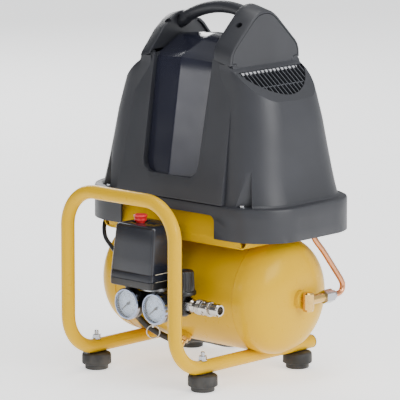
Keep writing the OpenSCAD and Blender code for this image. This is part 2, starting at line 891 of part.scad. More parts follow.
module safety_valve() {
    color("goldenrod")
    translate([safe_x, man_y, safe_z]) difference() {
        union() {
            cylinder(d1 = 9, d2 = 12, h = 2);
            translate([0, 0, 2]) cylinder(d = 12, h = 8);
            translate([0, 0, 10]) hexagon(14, safe_len - 10 - seat_gap);
            translate([0, 0, safe_len]) cylinder(d = 10 - 2 * seat_gap, h = 7);
        }
        translate([0, 0, -1]) cylinder(d = 4, h = 15);
        translate([0, 0, 6]) cylinder(d = 8, h = 9);
    }
}

module safety_stem() {
    color("silver")
    translate([safe_x, man_y, safe_z]) difference() {
        union() {
            translate([0, 0, -6]) cylinder(d = 4 - 2 * run_gap, h = 14);
            translate([0, 0, 10]) cylinder(d = 6, h = 2);
            translate([0, 0, 8]) cylinder(d = 3, h = 4);
        }
        rotate([0, 0, ring_yaw])
            along_x(-4, 0, -3.6) cylinder(d = ring_wire + 2 * run_gap, h = 8);
    }
}

module pull_ring() {
    color("silver")
    translate([safe_x, man_y, safe_z - 3.6]) rotate([0, 0, ring_yaw]) {
        along_x(-ring_pin, 0, 0) cylinder(d = ring_wire, h = 2 * ring_pin);
        translate([0, 0, -ring_d / 2 * cos(ring_gap)]) rotate([90, 0, 0]) rotate([0, 0, 90 + ring_gap])
            rotate_extrude(angle = 360 - 2 * ring_gap) translate([ring_d / 2, 0])
                circle(d = ring_wire, $fn = 16);
    }
}

// ---- hood ----

module hood_level(z, w, d, r) {
    translate([hood_x, hood_y, z]) rounded_box(w, d, 1, r, $fn = 32);
}

// Outside of the two bells, or with an inset the space inside them
module bells(inset) {
    i = 2 * inset;
    hull() {
        hood_level(body_z - 1, hood_w - 20 - i, hood_d - 14 - i, rim_r - 6 - inset);
        hood_level(body_z + body_h * 0.33, hood_w - 52 - i, hood_d - 26 - i, rim_r - 10 - inset);
        hood_level(body_z + body_h * 0.72, hood_w - 84 - i, hood_d - 46 - i, rim_r - 14 - inset);
        hood_level(body_z + body_h * 0.88 - inset, hood_w - 136 - i, hood_d - 52 - i, 34 - inset);
        hood_level(body_z + body_h * 0.94 - inset, 2 * cowl_top_half - i, hood_d - 58 - i, 20 - inset);
    }
}

// Outside of the leaning centre cowl, or with an inset the space inside it
module cowl(inset) {
    i = 2 * inset;
    hull() {
        hood_level(rim_z + rim_h - 2, 2 * cowl_half - i, hood_d - i, 8 - inset);
        hood_level(body_z + body_h * 0.86, 2 * cowl_top_half - i, hood_d - 58 - i, 10 - inset);
        hood_level(body_top - 1 - inset, 2 * cowl_top_half - 20 - i, hood_d - 100 - i, 10 - inset);
    }
}

module at_pockets() {
    for (s = [-1, 1])
        translate([hood_x + s * pocket_x, hood_y - hood_d / 2 + pocket_in, body_z]) children();
}

module grille_opening() {
    translate([hood_x + 90, hood_y + 8, body_z + body_h * 0.88]) rotate([0, 38, 0])
        translate([-4, -55, -16]) cube([44, 110, 30]);
}

module window_pocket(clear, depth) {
    lean = atan(29 / body_h);
    translate([hood_x, hood_y - hood_d / 2, body_z]) rotate([-lean, 0, 0])
        translate([0, depth, window_z - body_z + window_h / 2]) rotate([90, 0, 0])
            linear_extrude(depth + 6) rounded_rect(window_w - 2 * clear, window_h - 2 * clear, 18);
}

module hood_shell() {
    color([0.24, 0.25, 0.27]) {
    intersection() {
        bells(0);
        at_pockets() translate([0, 0, -hood_wall]) difference() {
            cylinder(d = pocket_d + 2 * hood_wall, h = pocket_h);
            translate([0, 0, hood_wall]) cylinder(d = pocket_d, h = pocket_h);
        }
    }
    difference() {
        union() {
            translate([hood_x, hood_y, rim_z]) difference() {
                rounded_box(hood_w, hood_d, rim_h, rim_r);
                translate([0, 0, -1])
                    rounded_box(hood_w - 2 * hood_wall, hood_d - 2 * hood_wall, rim_h + 1 - hood_wall,
                        rim_r - hood_wall);
            }
            bells(0);
            cowl(0);
        }
        bells(hood_wall);
        cowl(hood_wall);
        translate([hood_x, hood_y, rim_z - 1])
            rounded_box(hood_w - 30, hood_d - 22, rim_h + 2, rim_r - 14);
        translate([cut_x - cut_w / 2, hood_y - hood_d / 2 - 1, rim_z - 1])
            cube([cut_w, hood_wall + 12, cut_h + 1]);
        window_pocket(0, window_depth);
        at_pockets() cylinder(d = pocket_d, h = pocket_h);
        translate([hood_x, 0, 0]) both_sides() translate([-hood_x, 0, 0]) grille_opening();
    }
    }
}

module window_panel() {
    color([0.1, 0.1, 0.11])
    difference() {
        intersection() {
            window_pocket(seat_gap, window_depth - seat_gap);
            cowl(hood_wall);
        }
        cowl(hood_wall + 2.5);
    }
}

module side_grilles() {
    slats = 14;
    pitch = 7.6;
    color([0.1, 0.1, 0.1])
    translate([hood_x, 0, 0]) both_sides()
    translate([90, hood_y + 8, body_z + body_h * 0.88]) rotate([0, 38, 0])
        translate([-4 + seat_gap, -55 + seat_gap, -9]) {
            difference() {
                cube([44 - 2 * seat_gap, 110 - 2 * seat_gap, 3]);
                translate([2, 2, -1]) cube([40 - 2 * seat_gap, 106 - 2 * seat_gap, 5]);
            }
            for (i = [0:slats - 1])
                translate([1, 3 + i * pitch, 0]) cube([42 - 2 * seat_gap, 2.4, 6]);
        }
}

// Side view of a tower cap: a triangle with a rounded apex
module tower_side(inset) {
    half = tower_base / 2 - inset;
    apex = tower_h - inset;
    polygon([
        [-half, 0], [-half + 1, 12], [-half + 6, 20], [-tower_apex_w + 8, apex - 8],
        [-tower_apex_w / 2 + 4, apex - 1.5], [0, apex], [tower_apex_w / 2 - 4, apex - 1.5],
        [tower_apex_w - 8, apex - 8], [half - 6, 20], [half - 1, 12], [half, 0]
    ]);
}

module tower_cap(side) {
    z = body_top - 6;
    x = hood_x + side * (tower_inner + tower_w / 2);
    color([0.24, 0.25, 0.27])
    difference() {
        translate([x - tower_w / 2, hood_y, z]) rotate([90, 0, 90])
            linear_extrude(tower_w) tower_side(0);
        translate([x - tower_w / 2 + hood_wall, hood_y, z - 1]) rotate([90, 0, 90])
            linear_extrude(tower_w - 2 * hood_wall) tower_side(hood_wall);
        bells(-seat_gap);
        cowl(-seat_gap);
    }
}

module tower_cap_left() tower_cap(-1);

module tower_cap_right() tower_cap(1);

module handle_bar() {
    chord = 2 * (tower_inner + hood_wall);
    arc_r = (chord * chord / 4 + handle_rise * handle_rise) / (2 * handle_rise);
    half_angle = asin(chord / 2 / arc_r);
    color([0.2, 0.21, 0.22])
    translate([hood_x, hood_y, handle_z + handle_rise - arc_r]) rotate([90, 0, 0])
        rotate([0, 0, 90 - half_angle]) rotate_extrude(angle = 2 * half_angle, $fn = 128)
            translate([arc_r, 0]) circle(d = handle_d);
}

module hood_screws() {
    color("silver")
    at_pockets() translate([0, 7, seat_gap]) difference() {
        cylinder(d = 8, h = 3);
        translate([0, 0, 1.5]) hexagon(4, 3);
    }
}

// ---- pump ----

module pump_mounts() {
    color("black")
    for (x = [-mount_x, mount_x], y = [-mount_dy, mount_dy])
        translate([rod_x - 20 + x, pump_y + y, deck_z]) {
            rotate_extrude() polygon([
                [0, 0], [10, 0], [10, 2], [8, mount_h / 2], [10, mount_h - 2], [10, mount_h], [0, mount_h]
            ]);
            translate([0, 0, -7]) cylinder(d = stud_d, h = 8);
        }
}

module crankcase() {
    color("lightgray")
    difference() {
        union() {
            translate([rod_x - 20 - 60, pump_y - 45, base_z]) cube([120, 90, base_t]);
            translate([case_x, pump_y - case_w / 2, base_z])
                cube([case_len, case_w, cyl_z - base_z]);
        }
        along_x(case_x + 14, pump_y, crank_z) cylinder(d = 72, h = case_len - 14 - case_wall);
        translate([rod_x, pump_y, crank_z]) cylinder(d = bore_d + 2 * seat_gap, h = 100);
        along_x(case_x - 1, pump_y, crank_z) cylinder(d = 32, h = 16);
        along_x(case_x + case_len - case_wall - 1, pump_y, crank_z) cylinder(d = 50, h = 10);
    }
}

module motor_stator() {
    color("gray")
    along_x(stator_x, pump_y, crank_z) {
        ring(stator_d, rotor_d + 2, stator_len);
        translate([0, 0, -8]) ring(rotor_d + 26, rotor_d + 6, 8);
        translate([0, 0, stator_len]) ring(rotor_d + 26, rotor_d + 6, 8);
    }
}

module motor_housing() {
    color("lightgray")
    along_x(stator_x - 14, pump_y, crank_z) difference() {
        cylinder(d = stator_d + 8, h = case_x - stator_x + 14 - seat_gap);
        translate([0, 0, 3]) cylinder(d = stator_d + 2 * seat_gap, h = stator_len + 40);
        translate([0, 0, -1]) cylinder(d = 32, h = 10);
        for (a = [0:45:315]) rotate([0, 0, a]) translate([38, 0, -1]) cylinder(d = 18, h = 6);
    }
}

module rotor_shaft() {
    color("silver")
    along_x(0, pump_y, crank_z) {
        translate([0, 0, stator_x]) cylinder(d = rotor_d, h = stator_len);
        translate([0, 0, -104]) cylinder(d = shaft_d, h = 104 + case_x + 18);
        translate([0, 0, case_x + 17]) cylinder(d = 44, h = 9);
        translate([crank_throw, 0, case_x + 25]) cylinder(d = pin_d, h = 18);
    }
}

module cooling_fan() {
    blades = 9;
    color("white")
    along_x(-101, pump_y, crank_z) difference() {
        union() {
            cylinder(d = 26, h = 18);
            ring(104, 20, 2);
            for (i = [0:blades - 1]) rotate([0, 0, 360 * i / blades])
                translate([12, -1, 0]) rotate([0, 0, 12]) cube([38, 2, 16]);
        }
        translate([0, 0, -1]) cylinder(d = shaft_d, h = 20);
    }
}

module ball_bearings() {
    color("silver")
    for (x = [stator_x - 13, case_x + 2])
        along_x(x, pump_y, crank_z) ring(32 - 2 * seat_gap, shaft_d + 2 * run_gap, 10);
}

module piston_rod() {
    eye = 2 * crank_throw + pin_d + 4;
    rise = cyl_z + 26 - crank_z;
    color("silver")
    translate([rod_x, pump_y, crank_z]) difference() {
        union() {
            along_x(-5, 0, 0) cylinder(d = eye + 10, h = 10);
            translate([-5, -7, eye / 2]) cube([10, 14, rise - eye / 2]);
            translate([0, 0, rise - 4]) cylinder(d = bore_d - 1, h = 8);
        }
        along_x(-6, 0, 0) cylinder(d = eye, h = 12);
    }
}

module pump_cylinder() {
    color("silver")
    translate([rod_x, pump_y, cyl_z + seat_gap]) {
        ring(bore_d + 2 * cyl_wall, bore_d, cyl_len - 2 * seat_gap);
        ring(bore_d + 20, bore_d, 4);
    }
}

module cylinder_head() {
    fins = 7;
    color("lightgray")
    translate([rod_x, pump_y, head_z]) difference() {
        union() {
            translate([-head_size / 2, -head_size / 2, 0]) cube([head_size, head_size, head_h - 8]);
            for (i = [0:fins - 1])
                translate([-head_size / 2, -head_size / 2 + i * (head_size - 3) / (fins - 1), 0])
                    cube([head_size, 3, head_h]);
        }
        along_x(10, 0, 5) cylinder(d = pipe_d + 2 * seat_gap, h = head_size);
    }
}

module intake_filter() {
    color("black")
    along_x(rod_x - head_size / 2 - 18, pump_y, head_z + 8) {
        cylinder(d = 30, h = 14);
        translate([0, 0, 14]) cylinder(d = 12, h = 4 - seat_gap);
    }
}

module motor_lead() {
    color("black") swept_tube(lead_route, lead_d, 8, [0, 1, 0]);
}

// ---- mains cord ----

module mains_cord() {
    color("black") swept_tube(cord_route, cord_d, 10, [1, 0, 0]);
}

module cord_coil() {
    color("black")
    translate([coil_x, coil_y, 0]) rotate_extrude() translate([coil_inner, 0])
        square([coil_outer - coil_inner, coil_h]);
}

module mains_plug() {
    pin_gap = 19;
    color("black")
    translate([plug_x, plug_y, 0]) {
        translate([0, 0, coil_h - cord_d / 2]) rotate([90, 0, 0]) cylinder(d = cord_d, h = 14);
        translate([0, -12, 15]) rotate([90, 0, 0]) cylinder(d1 = cord_d + 2, d2 = 17, h = 32);
        translate([0, -42, 17]) rotate([90, 0, 0]) cylinder(d = 34, h = 32);
    }
    color("silver")
    for (s = [-1, 1])
        translate([plug_x + s * pin_gap / 2, plug_y - 74, 17]) rotate([90, 0, 0])
            cylinder(d = 4.8, h = 19);
}

module cord_clip() {
    color("black")
    translate([-48, clip_y, 27.5]) rotate([90, 0, 0]) translate([0, 0, -4]) difference() {
        cylinder(d = cord_d + 3, h = 8);
        translate([0, 0, -1]) cylinder(d = cord_d + 2 * loose_gap, h = 10);
    }
}

at_origin() frame_tube();
at_origin() rail_plugs();
at_origin() rubber_feet();
at_origin() foot_studs();
at_origin() foot_nuts();
at_origin() tank_shell();
at_origin() tank_dome_left();
at_origin() tank_dome_right();
at_origin() tank_bosses();
at_origin() pump_platform();
at_origin() drain_body();
at_origin() drain_screw();
at_origin() check_valve();
at_origin() pipe_nuts();
at_origin() delivery_pipe();
at_origin() tank_nipple();
at_origin() air_manifold();
at_origin() pressure_housing();
at_origin() switch_base();
at_origin() switch_cover();
at_origin() cover_screw();
at_origin() switch_knob();
at_origin() contact_block();
at_origin() cable_glands();
at_origin() gauge_cases();
at_origin() gauge_bezels();
at_origin() gauge_dials();
at_origin() gauge_lenses();
at_origin() needle(-1);  // needle_left
at_origin() needle(1);  // needle_right
at_origin() regulator_body();
at_origin() regulator_knob();
at_origin() coupler_body();
at_origin() coupler_sleeve();
at_origin() safety_valve();
at_origin() safety_stem();
at_origin() pull_ring();
at_origin() hood_shell();
at_origin() window_panel();
at_origin() side_grilles();
at_origin() tower_cap_left();
at_origin() tower_cap_right();
at_origin() handle_bar();
at_origin() hood_screws();
at_origin() pump_mounts();
at_origin() crankcase();
at_origin() motor_stator();
at_origin() motor_housing();
at_origin() rotor_shaft();
at_origin() cooling_fan();
at_origin() ball_bearings();
at_origin() piston_rod();
at_origin() pump_cylinder();
at_origin() cylinder_head();
at_origin() intake_filter();
at_origin() motor_lead();
at_origin() mains_cord();
at_origin() cord_coil();
at_origin() mains_plug();
at_origin() cord_clip();
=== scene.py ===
"""Looks of a small hooded air compressor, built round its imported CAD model."""

import math

import bmesh
import bpy
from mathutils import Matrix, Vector


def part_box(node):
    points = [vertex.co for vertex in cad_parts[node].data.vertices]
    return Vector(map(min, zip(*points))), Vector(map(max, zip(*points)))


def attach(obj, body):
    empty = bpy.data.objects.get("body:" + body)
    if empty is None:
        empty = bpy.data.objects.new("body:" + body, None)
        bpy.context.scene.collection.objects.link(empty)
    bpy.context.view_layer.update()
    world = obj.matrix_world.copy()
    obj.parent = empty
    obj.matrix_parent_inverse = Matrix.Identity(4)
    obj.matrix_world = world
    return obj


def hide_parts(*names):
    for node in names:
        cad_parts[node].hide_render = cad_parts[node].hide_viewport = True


bl_info = {
    "name": "Air compressor looks",
    "version": (1, 0, 0),
    "blender": (4, 5, 0),
    "location": "View3D > Sidebar > Compressor",
    "description": "Hood, tank, switch group, cords and finishes of a small air compressor",
    "category": "Object",
}

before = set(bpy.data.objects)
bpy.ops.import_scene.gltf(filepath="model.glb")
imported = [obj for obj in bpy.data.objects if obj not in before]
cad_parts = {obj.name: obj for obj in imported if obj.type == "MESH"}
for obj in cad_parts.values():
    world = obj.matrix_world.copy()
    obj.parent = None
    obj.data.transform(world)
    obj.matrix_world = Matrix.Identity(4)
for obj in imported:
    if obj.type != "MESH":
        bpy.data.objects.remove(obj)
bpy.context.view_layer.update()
MM = 0.001
STAND = "compressor"
CORNERS = [(side, back) for side in (-1, 1) for back in (-1, 1)]
FINISH = {}


def middle(node):
    """The middle of a CAD node's box."""
    low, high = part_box(node)
    return (Vector(low) + Vector(high)) / 2


FEET = middle("rubber_feet")


def at(x, y, z):
    """A place in millimetres from the middle of the four feet, in the row frame."""
    return Vector((FEET.x + x * MM, FEET.y + y * MM, z * MM))


# ---------------------------------------------------------------------------------------------
# Modelling helpers
# ---------------------------------------------------------------------------------------------


def clear():
    """Leaves edit mode and selects nothing."""
    if bpy.context.object and bpy.context.object.mode != "OBJECT":
        bpy.ops.object.mode_set(mode="OBJECT")
    bpy.ops.object.select_all(action="DESELECT")


def take(obj):
    """Makes obj the one selected, active object."""
    clear()
    obj.select_set(True)
    bpy.context.view_layer.objects.active = obj
    return obj


def edit(obj):
    """Opens obj in edit mode and gives its mesh."""
    take(obj)
    bpy.ops.object.mode_set(mode="EDIT")
    return bmesh.from_edit_mesh(obj.data)


def done(obj):
    """Leaves edit mode."""
    bpy.ops.object.mode_set(mode="OBJECT")
    return obj


def settle(obj):
    """Puts the object's place into its mesh, so that the object sits at the origin."""
    take(obj)
    bpy.ops.object.transform_apply(location=True, rotation=True, scale=True)
    return obj


def pick(obj, test):
    """Selects only the faces in edit mode whose middle and normal pass a test."""
    bpy.context.tool_settings.mesh_select_mode = (False, False, True)
    bpy.ops.mesh.select_all(action="DESELECT")
    mesh = bmesh.from_edit_mesh(obj.data)
    for face in mesh.faces:
        if test(face.calc_center_median(), face.normal):
            face.select_set(True)
    mesh.select_flush_mode()
    bmesh.update_edit_mesh(obj.data)


def modify(obj, kind, **settings):
    """Adds a modifier, sets it and applies it."""
    take(obj)
    modifier = obj.modifiers.new(kind.title(), kind)
    for key, value in settings.items():
        setattr(modifier, key, value)
    bpy.ops.object.modifier_apply(modifier=modifier.name)
    return obj


def round_edges(obj, width, segments=3, angle=35):
    """Rounds every edge sharper than an angle by a width in millimetres."""
    return modify(
        obj, "BEVEL", width=width * MM, segments=segments, limit_method="ANGLE",
        angle_limit=math.radians(angle), use_clamp_overlap=True,
    )


def thicken(obj, wall):
    """Gives a surface a wall in millimetres, inwards."""
    return modify(obj, "SOLIDIFY", thickness=wall * MM, offset=-1.0, use_even_offset=True)


def cut(obj, *cutters, how="DIFFERENCE"):
    """Cuts obj with each cutter, or joins or keeps the common part, and removes the cutters."""
    for cutter in cutters:
        modify(obj, "BOOLEAN", object=cutter, operation=how, solver="EXACT")
        bpy.data.objects.remove(cutter)
    return obj


def copy_of(obj):
    """A second piece of the same shape with its own mesh."""
    twin = obj.copy()
    twin.data = obj.data.copy()
    bpy.context.scene.collection.objects.link(twin)
    return twin


def outward(obj):
    """Merges doubles and turns every face outwards."""
    edit(obj)
    bpy.ops.mesh.select_all(action="SELECT")
    bpy.ops.mesh.remove_doubles(threshold=0.00001)
    bpy.ops.mesh.normals_make_consistent(inside=False)
    return done(obj)


def smooth(obj, angle=32):
    """Shades obj smooth, keeping edges sharper than an angle."""
    take(obj)
    bpy.ops.object.shade_smooth_by_angle(angle=math.radians(angle))
    return obj


def block(name, low, high):
    """A box from one corner to the other, in metres."""
    clear()
    low, high = Vector(low), Vector(high)
    bpy.ops.mesh.primitive_cube_add(size=1, location=(low + high) / 2)
    obj = bpy.context.object
    obj.name = obj.data.name = name
    obj.scale = high - low
    return settle(obj)


def turned(direction):
    """The turn that takes +Z to a direction."""
    return Vector(direction).to_track_quat("Z", "Y").to_euler()


def rod(name, foot, direction, radius, length, sides=48):
    """A round bar of a radius and length in millimetres from its foot, in metres."""
    clear()
    way = Vector(direction).normalized()
    bpy.ops.mesh.primitive_cylinder_add(
        vertices=sides, radius=radius * MM, depth=length * MM,
        location=Vector(foot) + way * length * MM / 2, rotation=turned(way),
    )
    obj = bpy.context.object
    obj.name = obj.data.name = name
    return settle(obj)


def ring_start(name, points):
    """A closed edge loop through points: a circle primitive whose vertices are laid on them."""
    clear()
    bpy.ops.mesh.primitive_circle_add(vertices=len(points), radius=1, fill_type="NOTHING")
    obj = bpy.context.object
    obj.name = obj.data.name = name
    for vertex, point in zip(obj.data.vertices, points):
        vertex.co = point
    return obj


def loft(name, rings, ends="BOTH"):
    """A skin through closed rings of equally many points, each extruded from the one before."""
    obj = ring_start(name, rings[0])
    mesh = edit(obj)
    bpy.context.tool_settings.mesh_select_mode = (False, True, False)
    bpy.ops.mesh.select_all(action="SELECT")
    if ends in ("BOTH", "FIRST"):
        bpy.ops.mesh.edge_face_add()
    for before, after in zip(rings, rings[1:]):
        mesh = bmesh.from_edit_mesh(obj.data)
        mesh.verts.ensure_lookup_table()
        count = len(mesh.verts)
        places = {tuple(round(c, 7) for c in p): i for i, p in enumerate(before)}
        pick_last = [v for v in mesh.verts if v.index >= count - len(before)]
        bpy.ops.mesh.select_all(action="DESELECT")
        last = set(pick_last)
        for edge in mesh.edges:
            if edge.verts[0] in last and edge.verts[1] in last:
                edge.select_set(True)
        bmesh.update_edit_mesh(obj.data)
        bpy.ops.mesh.extrude_edges_move()
        mesh = bmesh.from_edit_mesh(obj.data)
        mesh.verts.ensure_lookup_table()
        for vertex in list(mesh.verts)[count:]:
            key = tuple(round(c, 7) for c in vertex.co)
            vertex.co = after[nearest(places, key, vertex.co, before)]
        bmesh.update_edit_mesh(obj.data)
    if ends in ("BOTH", "LAST"):
        bpy.ops.mesh.edge_face_add()
    bpy.ops.mesh.select_all(action="SELECT")
    bpy.ops.mesh.normals_make_consistent(inside=False)
    return done(obj)


def skin(name, rings):
    """A closed loft, its doubles merged and its faces turned outwards."""
    return outward(loft(name, rings))


def nearest(places, key, co, before):
    """Which point of the ring before a new vertex came from."""
    if key in places:
        return places[key]
    return min(range(len(before)), key=lambda i: (before[i] - co).length_squared)


def quarter_arc(x, y, radius, start, steps):
    """Points of a quarter circle about a middle, from an angle in degrees."""
    angles = [math.radians(start + 90 * i / steps) for i in range(steps + 1)]
    return [(x + radius * math.cos(a), y + radius * math.sin(a)) for a in angles]


def rounded_ring(centre, width, depth, radius, z, steps=10):
    """A rounded rectangle's points at a height; sizes in millimetres, the centre in metres."""
    points = []
    radius = min(radius, width / 2 - 0.01, depth / 2 - 0.01)
    for quarter, (sx, sy) in enumerate(((1, -1), (1, 1), (-1, 1), (-1, -1))):
        arc = quarter_arc(
            sx * (width / 2 - radius), sy * (depth / 2 - radius), radius, 90 * quarter - 90, steps
        )
        points += [Vector((centre.x + x * MM, centre.y + y * MM, z * MM)) for x, y in arc]
    return points


def turning(name, foot, direction, profile, sides=64):
    """A turned piece: rings of (radius, height) in millimetres about an axis, with closed ends."""
    way = Vector(direction).normalized()
    spin = way.to_track_quat("Z", "Y").to_matrix()
    rings = []
    for radius, height in profile:
        rings.append([
            Vector(foot) + spin @ Vector((
                radius * MM * math.cos(2 * math.pi * k / sides),
                radius * MM * math.sin(2 * math.pi * k / sides), height * MM,
            ))
            for k in range(sides)
        ])
    return loft(name, rings)


def flow(points, per=8):
    """A smooth run of points through the given ones."""
    pts = [Vector(p) for p in points]
    pts = [pts[0] * 2 - pts[1]] + pts + [pts[-1] * 2 - pts[-2]]
    out = []
    for a, b, c, d in zip(pts, pts[1:], pts[2:], pts[3:]):
        for k in range(per):
            t = k / per
            out.append(0.5 * (
                2 * b + (c - a) * t + (2 * a - 5 * b + 4 * c - d) * t * t
                + (3 * b - a - 3 * c + d) * t * t * t
            ))
    return out + [pts[-2]]


def curve_through(name, points, diameter, resolution=6):
    """A round bar along a run of points, in metres, as a curve of one open spline."""
    data = bpy.data.curves.new(name, "CURVE")
    data.dimensions = "3D"
    data.bevel_depth = diameter / 2
    data.bevel_resolution = resolution
    data.use_fill_caps = True
    spline = data.splines.new("POLY")
    spline.points.add(len(points) - 1)
    for point, place in zip(spline.points, points):
        point.co = (*place, 1)
    spline.use_smooth = True
    obj = bpy.data.objects.new(name, data)
    bpy.context.scene.collection.objects.link(obj)
    return obj


def run_length(points):
    """The length of a run of points."""
    return sum((b - a).length for a, b in zip(points, points[1:]))


def as_mesh(obj):
    """Turns a curve or text into a mesh."""
    take(obj)
    bpy.ops.object.convert(target="MESH")
    return bpy.context.object


def join(name, pieces):
    """Several new pieces as one object."""
    clear()
    for piece in pieces:
        piece.select_set(True)
    bpy.context.view_layer.objects.active = pieces[0]
    if len(pieces) > 1:
        bpy.ops.object.join()
    obj = bpy.context.object
    obj.name = obj.data.name = name
    return obj


def place(obj, finish, slot, *nodes, body=STAND):
    """Gives a finished piece its finish, its body and the CAD nodes it stands for."""
    obj.data.materials.clear()
    obj.data.materials.append(FINISH[finish])
    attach(obj, body)
    if nodes:
        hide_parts(*nodes)
    return obj


def dress(finish, *nodes):
    """Gives CAD nodes a finish."""
    for node in nodes:
        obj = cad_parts[node]
        obj.data.materials.clear()
        obj.data.materials.append(FINISH[finish])
        smooth(obj, 30)


# ---------------------------------------------------------------------------------------------
# Shader maths
# ---------------------------------------------------------------------------------------------


class Wire:
    """A number in a material, so that shader maths reads as an expression."""

    def __init__(self, shop, socket):
        self.shop, self.socket = shop, socket

    def sum_of(self, operation, first, second):
        node = self.shop.node("ShaderNodeMath", {"operation": operation}, {0: first, 1: second})
        return Wire(self.shop, node.outputs[0])

    def __add__(self, other):
        return self.sum_of("ADD", self, other)

    __radd__ = __add__

    def __mul__(self, other):
        return self.sum_of("MULTIPLY", self, other)

    __rmul__ = __mul__

    def __rsub__(self, other):
        return self.sum_of("SUBTRACT", other, self)

    def between(self, low, high):
        """0 below low, 1 above high, and a smooth rise from one to the other."""
        node = self.shop.node(
            "ShaderNodeMapRange", {"interpolation_type": "SMOOTHSTEP"},
            {"Value": self, "From Min": low, "From Max": high},
        )
        return Wire(self.shop, node.outputs["Result"])


class Shop:
    """One material and the few node calls that its finish needs."""

    def __init__(self, name):
        self.material = bpy.data.materials.new(name)
        self.material.use_nodes = True
        self.tree = self.material.node_tree
        self.shader = self.tree.nodes["Principled BSDF"]
        place_node = self.node("ShaderNodeTexCoord", {}, {})
        self.where = place_node.outputs["Object"]

    def node(self, kind, settings, inputs):
        node = self.tree.nodes.new(kind)
        for key, value in settings.items():
            setattr(node, key, value)
        for key, value in inputs.items():
            self.feed(node.inputs[key], value)
        return node

    def feed(self, socket, value):
        if isinstance(value, Wire):
            value = value.socket
        if isinstance(value, bpy.types.NodeSocket):
            self.tree.links.new(value, socket)
        else:
            socket.default_value = value

    def noise(self, scale, detail=3.0, roughness=0.5):
        node = self.node("ShaderNodeTexNoise", {}, {
            "Vector": self.where, "Scale": scale, "Detail": detail, "Roughness": roughness,
        })
        return Wire(self, node.outputs["Fac"])

    def speckle(self, scale):
        node = self.node("ShaderNodeTexVoronoi", {}, {"Vector": self.where, "Scale": scale})
        return Wire(self, node.outputs["Distance"])

    def height(self):
        node = self.node("ShaderNodeSeparateXYZ", {}, {"Vector": self.where})
        return Wire(self, node.outputs["Z"])

    def blend(self, amount, first, second):
        """A colour between two, by a wire."""
        node = self.node("ShaderNodeMix", {"data_type": "RGBA"}, {})
        self.feed(node.inputs["Factor"], amount)
        for key, value in (("A", first), ("B", second)):
            sockets = [s for s in node.inputs if s.name == key and s.type == "RGBA"]
            self.feed(sockets[0], (*value, 1) if isinstance(value, tuple) else value)
        return [s for s in node.outputs if s.type == "RGBA"][0]

    def bump(self, relief, strength, distance):
        node = self.node("ShaderNodeBump", {}, {
            "Height": relief, "Strength": strength, "Distance": distance,
        })
        self.feed(self.shader.inputs["Normal"], node.outputs[0])

    def set(self, **values):
        for key, value in values.items():
            self.feed(self.shader.inputs[key.replace("_", " ")], value)


def darker(colour, part):
    """A colour multiplied by a part."""
    return tuple(c * part for c in colour)


def moulded(name, colour, roughness, grain=1400.0, relief=0.25, patch=0.12, dust=0.0, coat=0.0):
    """Moulded or coated surface: fine grain, soft patches of tone and a little dust low down."""
    shop = Shop(name)
    patches = shop.noise(9.0, 4.0).between(0.35, 0.65)
    fine = shop.noise(grain, 2.0, 0.6)
    tone = shop.blend(patches, darker(colour, 1 - patch), darker(colour, 1 + patch))
    speck = (fine * 0.7 + shop.speckle(grain * 0.4) * 0.3).between(0.3, 0.75)
    grains = shop.blend(patches, darker(colour, 0.82), darker(colour, 1.12))
    tone = shop.blend(speck * 0.5, tone, grains)
    if dust:
        low = 1 - shop.height().between(0.0, 0.12)
        tone = shop.blend(low * shop.noise(30.0).between(0.4, 0.7) * dust, tone, (0.35, 0.32, 0.28))
    shop.set(Base_Color=tone, Roughness=shop.noise(40.0) * 0.12 + (roughness - 0.06))
    shop.set(Coat_Weight=coat, Coat_Roughness=0.12)
    shop.bump(fine, relief, 0.0002)
    return shop.material


def enamel(name, colour, deep):
    """Gloss powder coat: slight orange peel, warmer where it pools, darker and browner in faint
    patches towards the bottom.
    """
    shop = Shop(name)
    pool = shop.noise(6.0, 3.0).between(0.3, 0.7)
    tone = shop.blend(pool * 0.5, colour, deep)
    # darker, browner patches towards the bottom
    low = 1 - shop.height().between(0.01, 0.09)
    tone = shop.blend(low * shop.noise(24.0).between(0.45, 0.75) * 0.12, tone, (0.4, 0.2, 0.02))
    shop.set(Base_Color=tone, Roughness=shop.noise(120.0) * 0.1 + 0.24)
    shop.set(Coat_Weight=0.05, Coat_Roughness=0.06, Specular_IOR_Level=0.22)
    shop.set(Specular_Tint=(1.0, 0.86, 0.45, 1))
    shop.bump(shop.noise(420.0, 1.0), 0.06, 0.0004)
    return shop.material


def metal(name, colour, roughness, turned_marks=2400.0, stain=(0.4, 0.36, 0.3), dull=0.25):
    """Bright metal with fine tool marks and a little staining."""
    shop = Shop(name)
    marks = shop.noise(turned_marks, 2.0, 0.7)
    blotch = shop.noise(60.0, 4.0).between(0.5, 0.8)
    shop.set(Base_Color=shop.blend(blotch * dull, colour, stain), Metallic=1.0)
    shop.set(Roughness=marks * 0.12 + blotch * 0.12 + (roughness - 0.08))
    shop.bump(marks, 0.12, 0.0001)
    return shop.material


def jacket(name, colour):
    """A flexible cord's smooth jacket, slightly scuffed."""
    shop = Shop(name)
    scuff = shop.noise(90.0, 5.0, 0.6).between(0.52, 0.72)
    shop.set(Base_Color=shop.blend(scuff * 0.5, colour, (0.03, 0.03, 0.032)))
    shop.set(Roughness=scuff * 0.2 + 0.38)
    shop.bump(shop.noise(900.0, 2.0), 0.12, 0.0002)
    return shop.material


